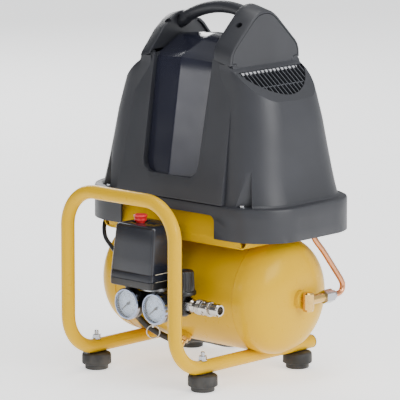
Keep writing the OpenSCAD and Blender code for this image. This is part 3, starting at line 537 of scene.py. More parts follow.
def mix_finishes():
    """Every finish of the compressor, named for what it covers."""
    size = bpy.context.scene.compressor_sizes
    yellow = tuple(size.enamel_colour)
    hood = tuple(size.hood_colour)
    FINISH.update({
        "yellow_enamel": enamel("yellow_enamel", yellow, darker(yellow, 0.86)),
        "hood": moulded("hood_plastic", hood, 0.46, 1500.0, 0.3),
        "window": moulded("window_plastic", (0.014, 0.015, 0.026), 0.17, 600.0, 0.01, 0.06),
        "grille_edge": moulded("grille_edges", (0.045, 0.047, 0.055), 0.4, 1200.0, 0.2),
        # painted highlight: pale strip along the grille openings' top edges, where the slats' upper
        # ends catch the light
        "painted_highlight_edge": moulded("grille_painted_highlight", (0.5, 0.5, 0.52), 0.4, 1200.0, 0.2),
        # painted shade: near-black sheet behind the grille slats, standing in for the dim inside of
        # the hood
        "painted_shade_black": moulded("grille_painted_shade", (0.002, 0.002, 0.0022), 0.8, 1200.0, 0.2),
        "switch": moulded("switch_plastic", (0.01, 0.0115, 0.018), 0.24, 1600.0, 0.08),
        "black": moulded("black_plastic", (0.006, 0.006, 0.007), 0.36, 1400.0, 0.15),
        "black_coat": moulded("black_coated_metal", (0.005, 0.005, 0.006), 0.3, 1100.0, 0.12),
        "red": moulded("red_plastic", (0.7, 0.008, 0.015), 0.35, 1500.0, 0.15, coat=0.3),
        "rubber": moulded("foot_rubber", (0.006, 0.006, 0.006), 0.6, 900.0, 0.4, 0.2, dust=0.12),
        "cream": moulded("contact_plastic", (0.6, 0.54, 0.4), 0.5, 1400.0, 0.2),
        "fan": moulded("fan_plastic", (0.7, 0.7, 0.66), 0.5, 1400.0, 0.2),
        "zinc": metal("zinc_plate", (0.42, 0.43, 0.46), 0.24),
        "nickel": metal("nickel_plate", (0.5, 0.47, 0.43), 0.16, dull=0.15),
        "steel_bezel": metal("bezel_steel", (0.32, 0.36, 0.47), 0.13, dull=0.1),
        "brass": metal("brass", (0.66, 0.42, 0.13), 0.26, stain=(0.4, 0.26, 0.1)),
        "copper": metal("copper_pipe", (0.62, 0.27, 0.13), 0.24, stain=(0.3, 0.12, 0.06)),
        "cast": metal("cast_alloy", (0.62, 0.63, 0.65), 0.48, 700.0),
        "laminations": metal("laminated_steel", (0.3, 0.3, 0.32), 0.5, 900.0),
        "cord": jacket("cord_jacket", (0.006, 0.006, 0.007)),
        "lead": jacket("motor_lead_jacket", (0.008, 0.008, 0.01)),
        "dial": moulded("dial_card", (0.62, 0.72, 0.88), 0.5, 900.0, 0.02, 0.03),
        "ink": moulded("dial_ink", (0.02, 0.025, 0.04), 0.5, 900.0, 0.02, 0.03),
        "lens": lens_glass(),
    })


def lens_glass():
    """Thin clear cover with faint wipe marks."""
    shop = Shop("gauge_lens")
    wipes = shop.noise(300.0, 3.0)
    shop.set(Base_Color=shop.blend(wipes, (0.85, 0.92, 1.0), (0.92, 0.96, 1.0)))
    shop.set(Roughness=wipes * 0.05 + 0.02, Alpha=wipes * 0.03 + 0.1)
    return shop.material


# ---------------------------------------------------------------------------------------------
# Sizes that a user would change
# ---------------------------------------------------------------------------------------------


class CompressorSizes(bpy.types.PropertyGroup):
    """Colours and small sizes of the compressor's looks."""

    enamel_colour: bpy.props.FloatVectorProperty(
        name="Enamel", description="Colour of the tube frame, tank and platform",
        subtype="COLOR", size=3, default=(0.66, 0.38, 0.0), min=0, max=1,
    )
    hood_colour: bpy.props.FloatVectorProperty(
        name="Hood", description="Colour of the hood's grained plastic",
        subtype="COLOR", size=3, default=(0.0185, 0.0195, 0.0245), min=0, max=1,
    )
    edge_round: bpy.props.FloatProperty(
        name="Edge rounding", description="Rounding of the hood panels' moulded edges",
        unit="LENGTH", default=0.0016, min=0.0003, max=0.004,
    )
    slat_count: bpy.props.IntProperty(
        name="Grille slats", description="Slats in each side grille", default=16, min=6, max=24,
    )
    light_power: bpy.props.FloatProperty(
        name="Studio light", description="Strength of the studio's soft lights",
        default=1.0, min=0.1, max=4.0,
    )


# ---------------------------------------------------------------------------------------------
# Stage: camera, floor and lights
# ---------------------------------------------------------------------------------------------


VIEW_AZIMUTH, VIEW_ELEVATION = math.radians(42.88), math.radians(10.23)
VIEW_DISTANCE, VIEW_HEIGHT = 4.866, 238.1
VIEW_LENS, VIEW_SHIFT = 317.3, (0.00725, -0.0021)
LIGHT_AIM = (0, 0, 0.25)
LIGHTS = (
    ("key_right", (2.8, 0.1, 1.5), 1.8, 66),
    ("fill_front", (0.4, -3.2, 1.6), 1.6, 7),
    ("top", (0.2, 0.2, 2.8), 1.8, 34),
    ("card_left", (-1.3, -2.8, 0.9), 0.9, 7),
    ("left_back", (-2.6, 1.6, 1.6), 1.4, 40),
)


def soft_light(name, spot, width, power):
    """A soft rectangular light aimed at the middle of the compressor."""
    data = bpy.data.lights.new(name, "AREA")
    data.shape = "RECTANGLE"
    data.size = width
    data.size_y = width * 0.7
    data.energy = power * bpy.context.scene.compressor_sizes.light_power
    obj = bpy.data.objects.new(name, data)
    obj.location = spot
    obj.rotation_euler = (Vector(LIGHT_AIM) - Vector(spot)).to_track_quat("-Z", "Y").to_euler()
    bpy.context.scene.collection.objects.link(obj)


class BuildStage(bpy.types.Operator):
    """Sets the camera, a pale floor and soft studio light"""

    bl_idname = "compressor.stage"
    bl_label = "Stage"

    def execute(self, context):
        away = Vector((
            math.sin(VIEW_AZIMUTH) * math.cos(VIEW_ELEVATION),
            -math.cos(VIEW_AZIMUTH) * math.cos(VIEW_ELEVATION), math.sin(VIEW_ELEVATION),
        ))
        data = bpy.data.cameras.new("view")
        data.sensor_width = 36
        data.lens = VIEW_LENS
        data.shift_x, data.shift_y = VIEW_SHIFT
        data.clip_end = 100
        camera = bpy.data.objects.new("view", data)
        camera.location = at(0, 0, VIEW_HEIGHT) + away * VIEW_DISTANCE
        camera.rotation_euler = away.to_track_quat("Z", "Y").to_euler()
        context.scene.collection.objects.link(camera)
        context.scene.camera = camera

        clear()
        bpy.ops.mesh.primitive_plane_add(size=30, location=(0, 0, 0))
        floor = bpy.context.object
        floor.name = "floor"
        shop = Shop("studio_floor")
        cloud = shop.noise(1.2, 2.0)
        shop.set(Base_Color=shop.blend(cloud, (0.9, 0.9, 0.9), (0.93, 0.93, 0.93)), Roughness=0.85)
        shop.set(Emission_Color=(1, 1, 1, 1), Emission_Strength=0.95)
        floor.data.materials.append(shop.material)
        settle(floor)

        world = bpy.data.worlds.new("studio")
        world.use_nodes = True
        background = world.node_tree.nodes["Background"]
        self.sky(world.node_tree, background)
        context.scene.world = world

        for light in LIGHTS:
            soft_light(*light)
        return {"FINISHED"}

    def sky(self, tree, background):
        """A studio that is bright to the right, above and behind, and dim in front on the left."""
        coords = tree.nodes.new("ShaderNodeTexCoord")
        dot = tree.nodes.new("ShaderNodeVectorMath")
        dot.operation = "DOT_PRODUCT"
        dot.inputs[1].default_value = (0.88, 0.2, 0.42)
        ramp = tree.nodes.new("ShaderNodeMapRange")
        ramp.interpolation_type = "SMOOTHSTEP"
        limits = {"From Min": -0.75, "From Max": 0.75, "To Min": 0.12, "To Max": 1.0}
        for key, value in limits.items():
            ramp.inputs[key].default_value = value
        tree.links.new(coords.outputs["Generated"], dot.inputs[0])
        tree.links.new(dot.outputs["Value"], ramp.inputs["Value"])
        tree.links.new(ramp.outputs["Result"], background.inputs["Strength"])
        background.inputs["Color"].default_value = (0.96, 0.98, 1.0, 1)


# ---------------------------------------------------------------------------------------------
# Cords
# ---------------------------------------------------------------------------------------------

CORD_ROUTE = [
    (-42, -88, 130), (-42, -88, 118), (-42, -88, 106), (-46, -84, 97), (-54, -74, 88),
    (-63, -61, 79), (-69, -49, 72), (-71, -41, 66), (-67, -35, 58), (-61, -28, 51),
    (-54, -20, 44), (-49, -10, 37.5), (-48, 3, 31.5), (-48, 17, 28.3), (-48, 29, 27.5),
    (-48, 42, 26.5), (-48, 58, 24), (-48, 76, 19.5), (-48, 94, 13.5), (-48, 110, 8.5),
    (-48, 126, 5.5), (-48, 144, 4.6), (-48, 164, 4.6), (-48, 184, 4.6), (-48, 206, 4.6),
]
COIL = (-109.5, 226.0)
COIL_OUT, COIL_IN, CORD_D = 61.4, 42.6, 9.0
LEAD_ROUTE = [
    (-64, -13, 288), (-84, -19, 283), (-108, -20, 270), (-127, -20, 252), (-137, -23, 230),
    (-140, -31, 209), (-138, -42, 191), (-128, -51, 177), (-113, -57, 168), (-96, -63, 160),
    (-81, -69, 151), (-68, -74, 142), (-58, -76, 137), (-50, -76, 136), (-44, -76, 136),
]


def coil_points():
    """Two layers of turns: in along the floor, then out again on top."""
    points = []
    turns, steps = 4.5, 26
    total = int(turns * steps)
    for k in range(1, total + 1):
        angle = 2 * math.pi * k / steps
        part = k / total
        inward = min(part, 1 - part) * 2
        radius = COIL_OUT - (COIL_OUT - COIL_IN) * inward
        rise = min(max((part - 0.44) / 0.12, 0), 1)
        rise = rise * rise * (3 - 2 * rise)
        z = 4.6 + 9.0 * rise
        points.append((COIL[0] + radius * math.cos(angle), COIL[1] + radius * math.sin(angle), z))
    return points


class BuildCords(bpy.types.Operator):
    """Lays the mains cord with its coil and plug, and the motor lead"""

    bl_idname = "compressor.cords"
    bl_label = "Cords"

    def execute(self, context):
        mm = CORD_ROUTE + [(-48.1, 217, 4.6)] + coil_points()
        end_x = COIL[0] - COIL_OUT
        mm += [(end_x, 216, 13.6), (end_x, 205, 13.8), (end_x, 193, 14.3), (end_x, 184, 15)]
        path = flow([at(*p) for p in mm], 2)
        cord = curve_through("mains_cord_flex", path, CORD_D * MM, 5)
        plug = self.plug(end_x)
        relief = turning("mains_cord_relief", at(-42, -88, 131), (0, 0, -1), [
            (6.2, 0), (6.2, 2), (8.3, 2.4), (8.5, 4), (8.5, 9), (7.6, 10), (7.0, 14), (6.7, 14.6),
            (6.9, 15.2), (6.5, 19), (6.1, 19.6), (6.3, 20.2), (5.9, 25), (5.5, 25.6), (5.6, 26.2),
            (5.2, 31), (4.7, 32),
        ], 32)
        tie = self.tie()
        place(cord, "cord", "cord_rubber", "mains_cord", "cord_coil")
        place(plug, "black", "plug_rubber", "mains_plug")
        place(smooth(relief), "black", "gland_plastic")
        place(tie, "black", "gland_plastic")
        round(run_length(path), 3)

        lead_path = flow([at(*p) for p in LEAD_ROUTE], 6)
        lead = curve_through("motor_lead_flex", lead_path, 0.006, 5)
        place(lead, "lead", "cord_rubber", "motor_lead")
        round(run_length(lead_path), 3)
        clip = turning("cord_clip_band", at(-48, 25, 27.6), (0, 1, 0), [
            (4.6, 0), (5.6, 0.0), (6.0, 0.6), (6.0, 7.4), (5.6, 8.0), (4.6, 8.0),
        ], 32)
        place(smooth(clip), "black", "gland_plastic", "cord_clip")
        return {"FINISHED"}

    def plug(self, x):
        """Moulded plug with a ribbed strain relief, lying on the floor."""
        y = 204
        relief = turning("relief", at(x, y - 6, 14.0), (0, -1, 0.06), [
            (4.6, 0), (5.2, 0.5), (5.4, 4), (4.9, 5), (5.0, 6), (5.9, 6.5), (6.1, 10), (5.4, 11),
            (5.5, 12), (6.7, 12.5), (6.9, 16), (6.1, 17), (6.2, 18), (7.5, 18.5), (7.9, 24),
        ], 32)
        body = turning("body", at(x, y - 28, 17), (0, -1, 0), [
            (8, 0), (9.5, 0.6), (11, 3), (13.5, 8), (14.6, 14), (15, 20), (16.6, 22), (17, 24),
            (17, 42), (16.4, 44), (15, 44.4), (14.6, 43), (4, 42.6),
        ], 48)
        pins = [
            turning("pin", at(x + side * 9.5, y - 70, 17), (0, -1, 0), [
                (2.4, 0), (2.4, 17.5), (1.8, 18.8), (0.6, 19.4),
            ], 24)
            for side in (-1, 1)
        ]
        plug = join("mains_plug_body", [relief, body] + pins)
        plug.data.materials.append(FINISH["black"])
        return smooth(plug, 40)

    def tie(self):
        """A strap round the coil's turns, with a small buckle."""
        x, y = COIL[0], COIL[1] - (COIL_OUT + COIL_IN) / 2
        half, low, high = 15.6, 0.3, 19.4
        outline = []
        for cy, cz, start in ((1, -1, -90), (1, 1, 0), (-1, 1, 90), (-1, -1, 180)):
            mid_z = (low + high) / 2 + cz * ((high - low) / 2 - 5)
            outline += quarter_arc(cy * (half - 5), mid_z, 5, start, 6)
        rings = [
            [at(x + dx, y + py, pz) for py, pz in outline] for dx in (-3, -1, 1, 3)
        ]
        strap = loft("strap", rings, ends="NONE")
        strap = thicken(strap, 0.9)
        buckle = block("buckle", at(x - 4, y - 4, high - 0.4), at(x + 4, y + 4, high + 3.4))
        round_edges(buckle, 0.8, 2)
        tie = join("cord_tie_strap", [strap, buckle])
        return smooth(tie, 40)


# ---------------------------------------------------------------------------------------------
# Tank and frame
# ---------------------------------------------------------------------------------------------

TANK_Y, TANK_Z, TANK_R = 32.5, 115.5, 82.0


class BuildTank(bpy.types.Operator):
    """Turns the air tank with its pressed ends and lap seams"""

    bl_idname = "compressor.tank"
    bl_label = "Air tank"

    def execute(self, context):
        half, depth, power = 111.5, 50.5, 2.66
        right = []
        for i in range(1, 33):
            a = math.radians(90 * i / 33)
            right.append((
                TANK_R * math.cos(a) ** (2 / power), half + depth * math.sin(a) ** (2 / power),
            ))
        right.append((1.0, half + depth))
        seam = [
            (TANK_R - 0.3, half - 9), (TANK_R - 0.3, half - 2.6), (TANK_R - 0.9, half - 2.0),
            (TANK_R - 1.0, half - 1.2), (TANK_R + 0.2, half - 0.8), (TANK_R + 0.1, half),
        ]
        half_line = [(TANK_R - 0.3, 40)] + seam + right
        profile = [(r, -x) for r, x in reversed(half_line)] + half_line
        tank = turning("air_tank", at(0, TANK_Y, TANK_Z), (1, 0, 0), profile, 128)
        place(
            smooth(tank, 25), "yellow_enamel", "tank_enamel", "tank_shell",
            "tank_dome_left", "tank_dome_right",
        )
        dress("yellow_enamel", "frame_tube", "tank_bosses")
        dress("black", "rail_plugs")
        dress("zinc", "foot_studs", "foot_nuts")
        dress("brass", "drain_body", "drain_screw", "tank_nipple", "check_valve")
        return {"FINISHED"}


class BuildFeet(bpy.types.Operator):
    """Turns the four stepped rubber feet"""

    bl_idname = "compressor.feet"
    bl_label = "Rubber feet"

    def execute(self, context):
        feet = []
        for x in (-100.5, 100.5):
            for y in (-97, 97):
                feet.append(turning("foot", at(x, y, 0), (0, 0, 1), [
                    (12, 0.8), (13, 0), (15.0, 0), (15.9, 0.5), (16.25, 1.6), (16.25, 6.4),
                    (16.6, 7.0), (19.2, 7.2), (20.2, 7.8), (20.5, 9), (20.3, 19.5),
                    (19.8, 21.4), (18.6, 22.6), (16.8, 23.0), (4, 23.0),
                ], 64))
        feet = join("rubber_feet_set", feet)
        place(smooth(feet, 38), "rubber", "foot_rubber", "rubber_feet")
        return {"FINISHED"}


class BuildPlatform(bpy.types.Operator):
    """Folds the pump platform from sheet"""

    bl_idname = "compressor.platform"
    bl_label = "Pump platform"

    def execute(self, context):
        y0, deck = TANK_Y, 233.5
        line = [(-76.5, 189), (-77.2, 190.5), (-80.8, 199.4), (-81.2, 201), (-80.6, 203)]
        line += [(-71.5, 229), (-70.4, 231.6), (-67.5, 233.3), (-64, deck)]
        section = [(y0 + y, z) for y, z in line] + [(y0 - y, z) for y, z in reversed(line)]
        inner = [(y + (1.9 if y < y0 else -1.9), z - (1.9 if z > 215 else 0)) for y, z in section]
        closed = section + list(reversed(inner))
        rings = [[at(x, y, z) for y, z in closed] for x in (-124, -80, -40, 0, 40, 80, 124)]
        sheet = skin("sheet", rings)
        hooks = []
        for side in (-1, 1):
            curl = [(112, 200), (113.5, 195), (117, 191.2), (123.5, 189.8), (129.5, 191)]
            curl += [(133, 194.6), (134.5, 200.5)]
            inner_curl = [(x + (1.6 if x < 123 else -1.6), z + 1.5) for x, z in curl]
            loop = [(side * x, z) for x, z in curl + list(reversed(inner_curl))]
            ends = (y0 - 78.5, y0 - 40, y0, y0 + 40, y0 + 78.5)
            hooks.append(skin("hook", [[at(x, y, z) for x, z in loop] for y in ends]))
        saddles = [
            block("saddle", at(x - 1.2, y0 - 77, 190), at(x + 1.2, y0 + 77, 231))
            for x in (-100, 100)
        ]
        for saddle in saddles:
            cut(saddle, rod("bore", at(-130, TANK_Y, TANK_Z), (1, 0, 0), TANK_R + 0.1, 260, 96))
        platform = join("folded_platform", [sheet] + hooks + saddles)
        place(smooth(platform, 35), "yellow_enamel", "tank_enamel", "pump_platform")
        return {"FINISHED"}


# ---------------------------------------------------------------------------------------------
# Hood
# ---------------------------------------------------------------------------------------------

HX, HY = -4.0, 50.5
HOOD_LEVELS = [
    (200.1, 180.0, 104.0, 66), (243.0, 180.0, 104.0, 66), (245.4, 179.2, 103.2, 65.4),
    (246.6, 177.0, 101.0, 64), (247.0, 168.5, 98.5, 62), (249.5, 165.2, 97.6, 61),
    (262.0, 161.4, 95.6, 59), (283.0, 157.0, 92.4, 57), (316.0, 151.8, 87.2, 55),
    (353.0, 146.5, 81.0, 52), (385.0, 139.0, 75.8, 49), (400.0, 134.0, 74.0, 47),
    (410.0, 127.0, 73.0, 42), (417.0, 117.5, 72.2, 34), (422.0, 104.0, 71.6, 24),
    (425.0, 92.0, 71.2, 12), (427.0, 88.0, 71.0, 7), (434.0, 87.5, 70.8, 7),
]


SHOULDER_LIFT = math.radians(39)
SHOULDER_X, SHOULDER_Z = 90, 424.5


def on_shoulder(side, along, y, up):
    """A place on a bell's sloping shoulder: so far down it, and so far out of it."""
    sine, cosine = math.sin(SHOULDER_LIFT), math.cos(SHOULDER_LIFT)
    return at(
        HX + side * (SHOULDER_X + along * cosine + up * sine), y,
        SHOULDER_Z - along * sine + up * cosine,
    )


def panel_y(z):
    """How far forward the centre panel's face is at a height."""
    return -53.3 + 0.16 * (z - 250)


def panel_half(z):
    """Half the centre panel's width at a height."""
    return 98.5 - 0.06 * (z - 250) - 3.2 * max(0.0, (z - 408) / 25) ** 1.5


class BuildHood(bpy.types.Operator):
    """Shapes the hood: rim and bells, centre panels, window, towers, grilles and handle"""

    bl_idname = "compressor.hood"
    bl_label = "Hood"

    def execute(self, context):
        self.edge = context.scene.compressor_sizes.edge_round / MM
        self.slats = context.scene.compressor_sizes.slat_count
        self.bells()
        self.panels()
        self.prow()
        self.towers()
        self.grilles()
        self.handle()
        return {"FINISHED"}

    def bell_solid(self, name, inset, low, high):
        """The rim and bells as a closed solid, smaller by an inset."""
        levels = []
        for (z0, *a), (z1, *b) in zip(HOOD_LEVELS, HOOD_LEVELS[1:]):
            parts = 3 if z1 - z0 > 15 else 1
            for k in range(parts):
                t = k / parts
                levels.append((z0 + (z1 - z0) * t, *[p + (q - p) * t for p, q in zip(a, b)]))
        levels.append(HOOD_LEVELS[-1])
        centre = at(HX, HY, 0)
        rings = []
        for z, w, d, r in levels:
            height = max(low, min(high, z - (inset if z > 246 else 0)))
            if rings and height <= rings[-1][0].z / MM + 0.05:
                continue
            rings.append(rounded_ring(
                centre, 2 * (w - inset), 2 * (d - inset), max(r - inset, 2), height, 14
            ))
        solid = loft(name, rings)
        edit(solid)
        facets = [
            (at(HX + side * (128 - inset), HY + back * (88.5 - inset), 330),
             (side * 0.5, back * 0.845, 0.19))
            for side, back in CORNERS
        ]
        facets += [
            (at(HX + side * (SHOULDER_X - inset), HY, SHOULDER_Z - inset),
             (side * math.sin(SHOULDER_LIFT), 0, math.cos(SHOULDER_LIFT)))
            for side in (-1, 1)
        ]
        for spot, normal in facets:
            bpy.ops.mesh.select_all(action="SELECT")
            bpy.ops.mesh.bisect(plane_co=spot, plane_no=normal, use_fill=True, clear_outer=True)
        return done(solid)

    def bells(self):
        """Rim and bells in one skin, with screw pockets, grille openings and the front notch."""
        wall = 2.6
        hood = self.bell_solid("hood_bells", 0, 200.1, 434.0)
        inside = self.bell_solid("inside", wall, 195.0, 431.0)
        cups = [
            cut(self.fold(*corner, 2.8, 244), copy_of(hood), how="INTERSECT") for corner in CORNERS
        ]
        cut(hood, inside)
        cut(hood, *cups, how="UNION")
        cut(hood, *[self.fold(*corner, 0, 246.9) for corner in CORNERS])
        for back in (-1, 1):
            cut(hood, block(
                "gap", at(HX - 64, HY + back * 85 - 25, 262), at(HX + 64, HY + back * 85 + 25, 450)
            ))
        cut(hood, block("throat", at(HX - 62, HY - 70, 424), at(HX + 62, HY + 70, 440)))
        for side in (-1, 1):
            cut(hood, self.leaf(side))
        cut(hood, skin("notch", [
            [at(-7 + x, y, z) for x, z in self.notch_line()] for y in (-60, -30)
        ]))
        round_edges(hood, 0.8, 2, 50)
        place(smooth(hood, 26), "hood", "hood_plastic", "hood_shell")

    def fold(self, side, back, wall, low):
        """A corner's screw pocket: two upright planes that meet in a crease, or its walls."""
        line = [(131, 80 - wall * 1.5), (175 + wall, 121), (98 - wall, 121)]
        rings = [[at(HX + side * x, HY + back * y, z) for x, y in line] for z in (low, 372)]
        return skin("fold", rings)

    def leaf(self, side):
        """The grille opening's cutter: a straight upper edge and a curved lower one."""
        outline = [(1.5, -62), (1.5, 67)]
        for k in range(25):
            y = 67 - 129 * k / 24
            outline.append((2.5 + self.reach(y), y))
        return skin("leaf", [
            [on_shoulder(side, along, HY + y, up) for along, y in outline] for up in (-8, 6)
        ])

    def reach(self, y):
        """How far down the shoulder a grille opening runs at a distance from its middle."""
        return 50 * max(0.0, 1 - abs((y - 2.5) / 66) ** 1.8) ** 0.75

    def notch_line(self):
        """Outline of the front notch, seen from the front."""
        half, low, top, r = 87.5, 195, 232, 9
        return [
            (-half, low), (half, low), *quarter_arc(half - r, top - r, r, 0, 6),
            *quarter_arc(r - half, top - r, r, 90, 6),
        ]

    def panels(self):
        """The two leaning centre panels, proud of the bells, each with its window."""
        plates = []
        for back in (-1, 1):
            rings = []
            for z in (247.0, 250, 262, 280, 300, 320, 340, 360, 380, 400, 412, 420, 427, 433):
                half = panel_half(z)
                bow = 9.0 * max(0, (z - 262) / 170)
                front, rear = [], []
                for k in range(17):
                    u = -1 + k / 8
                    y = panel_y(z) + bow * u * u
                    top = 0.24 * (84 - abs(u) * half) if z > 432 else 0
                    front.append((HX + u * half, y, z + top))
                    rear.append((HX + u * half, y + 12, z + top))
                loop = front + list(reversed(rear))
                rings.append([at(x, y if back < 0 else 2 * HY - y, h) for x, y, h in loop])
            plate = skin("panel", rings)
            cut(plate, self.window_cutter(back))
            round_edges(plate, self.edge, 3, 50)
            plates.append(plate)
        piece = join("hood_panels", plates)
        place(smooth(piece, 30), "hood", "hood_plastic")

    def window_cutter(self, back):
        """The window's outline, rounded at its foot and open at its top, as a cutter."""
        right, left, low, r, lean = 51.0, -58.0, 278.0, 17, 3
        outline = [
            *quarter_arc(left + r + lean, low + r, r, 180, 8),
            *quarter_arc(right - r - lean, low + r, r, 270, 8),
            (right + 1, 460), (left - 1, 460),
        ]
        front, rear = (-75, 15) if back < 0 else (2 * HY - 15, 2 * HY + 75)
        rings = [[at(HX + x, y, z) for x, z in outline] for y in (front, rear)]
        return skin("window", rings)

    def prow(self):
        """The glossy centre: two facets meeting in an upright crease, carried over the top."""
        side_view = [(z, panel_y(z) + 11.5) for z in (266, 290, 320, 350, 380, 400, 412)]
        side_view += [(428, -13), (433, -11), (436.5, -7), (439, -2), (441, 4), (444, 12)]
        side_view += [(450, 22), (456, 33), (460, 42), (461.5, 50.5)]
        mirrored = [(z, 2 * HY - y) for z, y in reversed(side_view[:-1])]
        middle_x = -5.0
        across = [-68, -61, -52, -42, -32, -22, -14, -8.5, -6.2, middle_x, -3.8, -1.5]
        across += [6, 16, 26, 36, 46, 57]
        rings = []
        for x in across:
            away = abs(x - middle_x)
            ridge = 11.0 * max(0.0, 1 - max(away, 1.0) / 59)
            ring = []
            for z, y in side_view + mirrored:
                lift = ridge * max(0.0, min(1.0, 1 - (z - 431) / 45))
                out = Vector((0, y - HY, (z - 416) * (1.6 if z > 430 else 0))).normalized()
                sag = 0.0006 * (x - middle_x) ** 2 if z > 433 else 0
                ring.append((y + out.y * lift, z + out.z * lift - sag))
            inner = [(HY + (y - HY) * 0.93, z - (3 if z > 300 else 0)) for y, z in ring]
            rings.append([at(HX + x, y, z) for y, z in ring + list(reversed(inner))])
        prow = skin("hood_prow", rings)
        place(smooth(prow, 16), "window", "window_plastic", "window_panel")

    def tower_line(self, lift, inset, squat):
        """Side view of a tower cap, raised by lift and drawn in by an inset."""
        front = [(-62, 421), (-62, 430), (-70, 431)]
        if squat < 1:
            front += [(-69.6, 433.5), (-67.5, 438), (-64, 443.5), (-59, 450.5)]
        else:
            front += [(-70, 436), (-69.2, 443), (-66.8, 449.5), (-62.5, 455.5)]
        front += [(-42, 475.5), (-26, 491), (-20, 495.8), (-14, 499.3), (-7, 501.4), (0, 502)]
        line = front + [(-y * 1.02, z) for y, z in reversed(front[:-1])]
        foot, waist = 431, 466
        return [
            (
                HY - 1 + y * (1 - inset / 70),
                foot + (waist - foot + (z - waist) * (1 - inset / 36)) * squat + lift,
            )
            for y, z in line
        ]

    def towers(self):
        """Tower caps: a wide strap over a flat side with a fine seam, and a screw hole."""
        for side, node, squat, start in (
            (-1, "tower_cap_left", 0.775, 67.0), (1, "tower_cap_right", 1.0, 53.0),
        ):
            rings = []
            for x, inset in (
                (start, 2.0), (start + 0.8, 0.6), (start + 2, 0), (start + 9, 0), (82.6, 0),
                (84.0, 0.6), (84.8, 2.0),
            ):
                lift = 0.8 + 0.24 * (84.4 - x)
                line = self.tower_line(lift, inset, squat)
                rings.append([at(HX + side * x, y, z) for y, z in line])
            cap = skin("cap", rings)
            edit(cap)
            mid = at(HX, 0, 0).x
            pick(cap, lambda c, n: abs(n.x) > 0.9 and abs(c.x - mid) > 0.083)
            bpy.ops.mesh.inset(thickness=0.0016, depth=0)
            bpy.ops.mesh.inset(thickness=0.0006, depth=-0.0012)
            bpy.ops.mesh.inset(thickness=0.0006, depth=0.0010)
            inner_side = (start + 1) * MM
            pick(cap, lambda c, n: abs(n.x) > 0.9 and abs(c.x - mid) < inner_side)
            bpy.ops.mesh.inset(thickness=0.003, depth=0)
            bpy.ops.mesh.inset(thickness=0.001, depth=-0.004)
            done(cap)
            for back in (-1, 1):
                cut(cap, rod(
                    "hole", at(HX + side * 70, HY - 1 + back * 46, 494), (0, -back * 0.7, -0.71),
                    4.4, 26, 32,
                ))
            cap.name = cap.data.name = "hood_" + node
            place(smooth(cap, 28), "hood", "hood_plastic", node)

    def grilles(self):
        """Slats that run down the slope of each shoulder, with a cross rib behind them, a
        near-black sheet of painted shade behind the openings and a pale strip of painted highlight
        along their top edges.
        """
        slats, shade_sheets, highlight_strips = [], [], []

        def along_hood(name, side, section, reach):
            """A bar of one section along Y, that far each way from the hood's middle."""
            return skin(name, [
                [on_shoulder(side, along, y, up) for along, up in section]
                for y in (HY - reach, HY + reach)
            ])

        for side in (-1, 1):
            for k in range(self.slats):
                y = HY - 61 + 127 * (k + 0.5) / self.slats
                section = [(y - 0.8, -1.2), (y + 0.8, -1.2), (y + 1.6, -9), (y, -9)]
                slats.append(skin("slat", [
                    [on_shoulder(side, along, yy, up) for yy, up in section]
                    for along in (1.0, 5 + self.reach(y - HY))
                ]))
            rib = ((31, -1.8), (32.4, -1.8), (32.4, -6), (31, -6))
            slats.append(along_hood("rib", side, rib, 45))
            # near-black sheet behind the slats: painted shade in place of the hood's dim inside
            shade_sheet = ((1, -10), (50, -10), (50, -11), (1, -11))
            shade_sheets.append(along_hood("shade_sheet", side, shade_sheet, 60))
            # pale strip just inside each opening's top edge: a painted highlight for the lit upper
            # ends of the slats
            highlight_strip = ((1.5, -2), (4.2, -3.4), (4.2, -5), (1.5, -5))
            highlight_strips.append(along_hood("highlight_strip", side, highlight_strip, 58))
        place(join("hood_grilles", slats), "grille_edge", "grille_plastic", "side_grilles")
        place(join("grille_painted_shade_sheets", shade_sheets), "painted_shade_black", "grille_plastic")
        place(join("grille_painted_highlight_strips", highlight_strips), "painted_highlight_edge", "grille_plastic")

    def handle(self):
        """The arched carrying bar with a collar at each end."""
        low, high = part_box("handle_bar")
        middle_x, mid_y = (low[0] + high[0]) / 2, (low[1] + high[1]) / 2
        top = high[2] - 0.0098
        rings = []
        for k in range(37):
            x = -80 + 142 * k / 36
            drop, slope = 0.0036 * (x - 11) ** 2, -0.0072 * (x - 11)
            centre = Vector((middle_x + x * MM, mid_y, top - drop * MM))
            side = Vector((-slope, 0, 1)).normalized()
            fat = 8.6 + (1.7 if x < -64 or x > 50 else 0)
            rings.append([
                centre + side * fat * MM * math.cos(t) + Vector((0, fat * MM * math.sin(t), 0))
                for t in [2 * math.pi * j / 32 for j in range(32)]
            ])
        bar = skin("carrying_bar", rings)
        place(smooth(bar, 35), "hood", "handle_plastic", "handle_bar")


# ---------------------------------------------------------------------------------------------
# Switch, gauges, regulator, coupler
# ---------------------------------------------------------------------------------------------


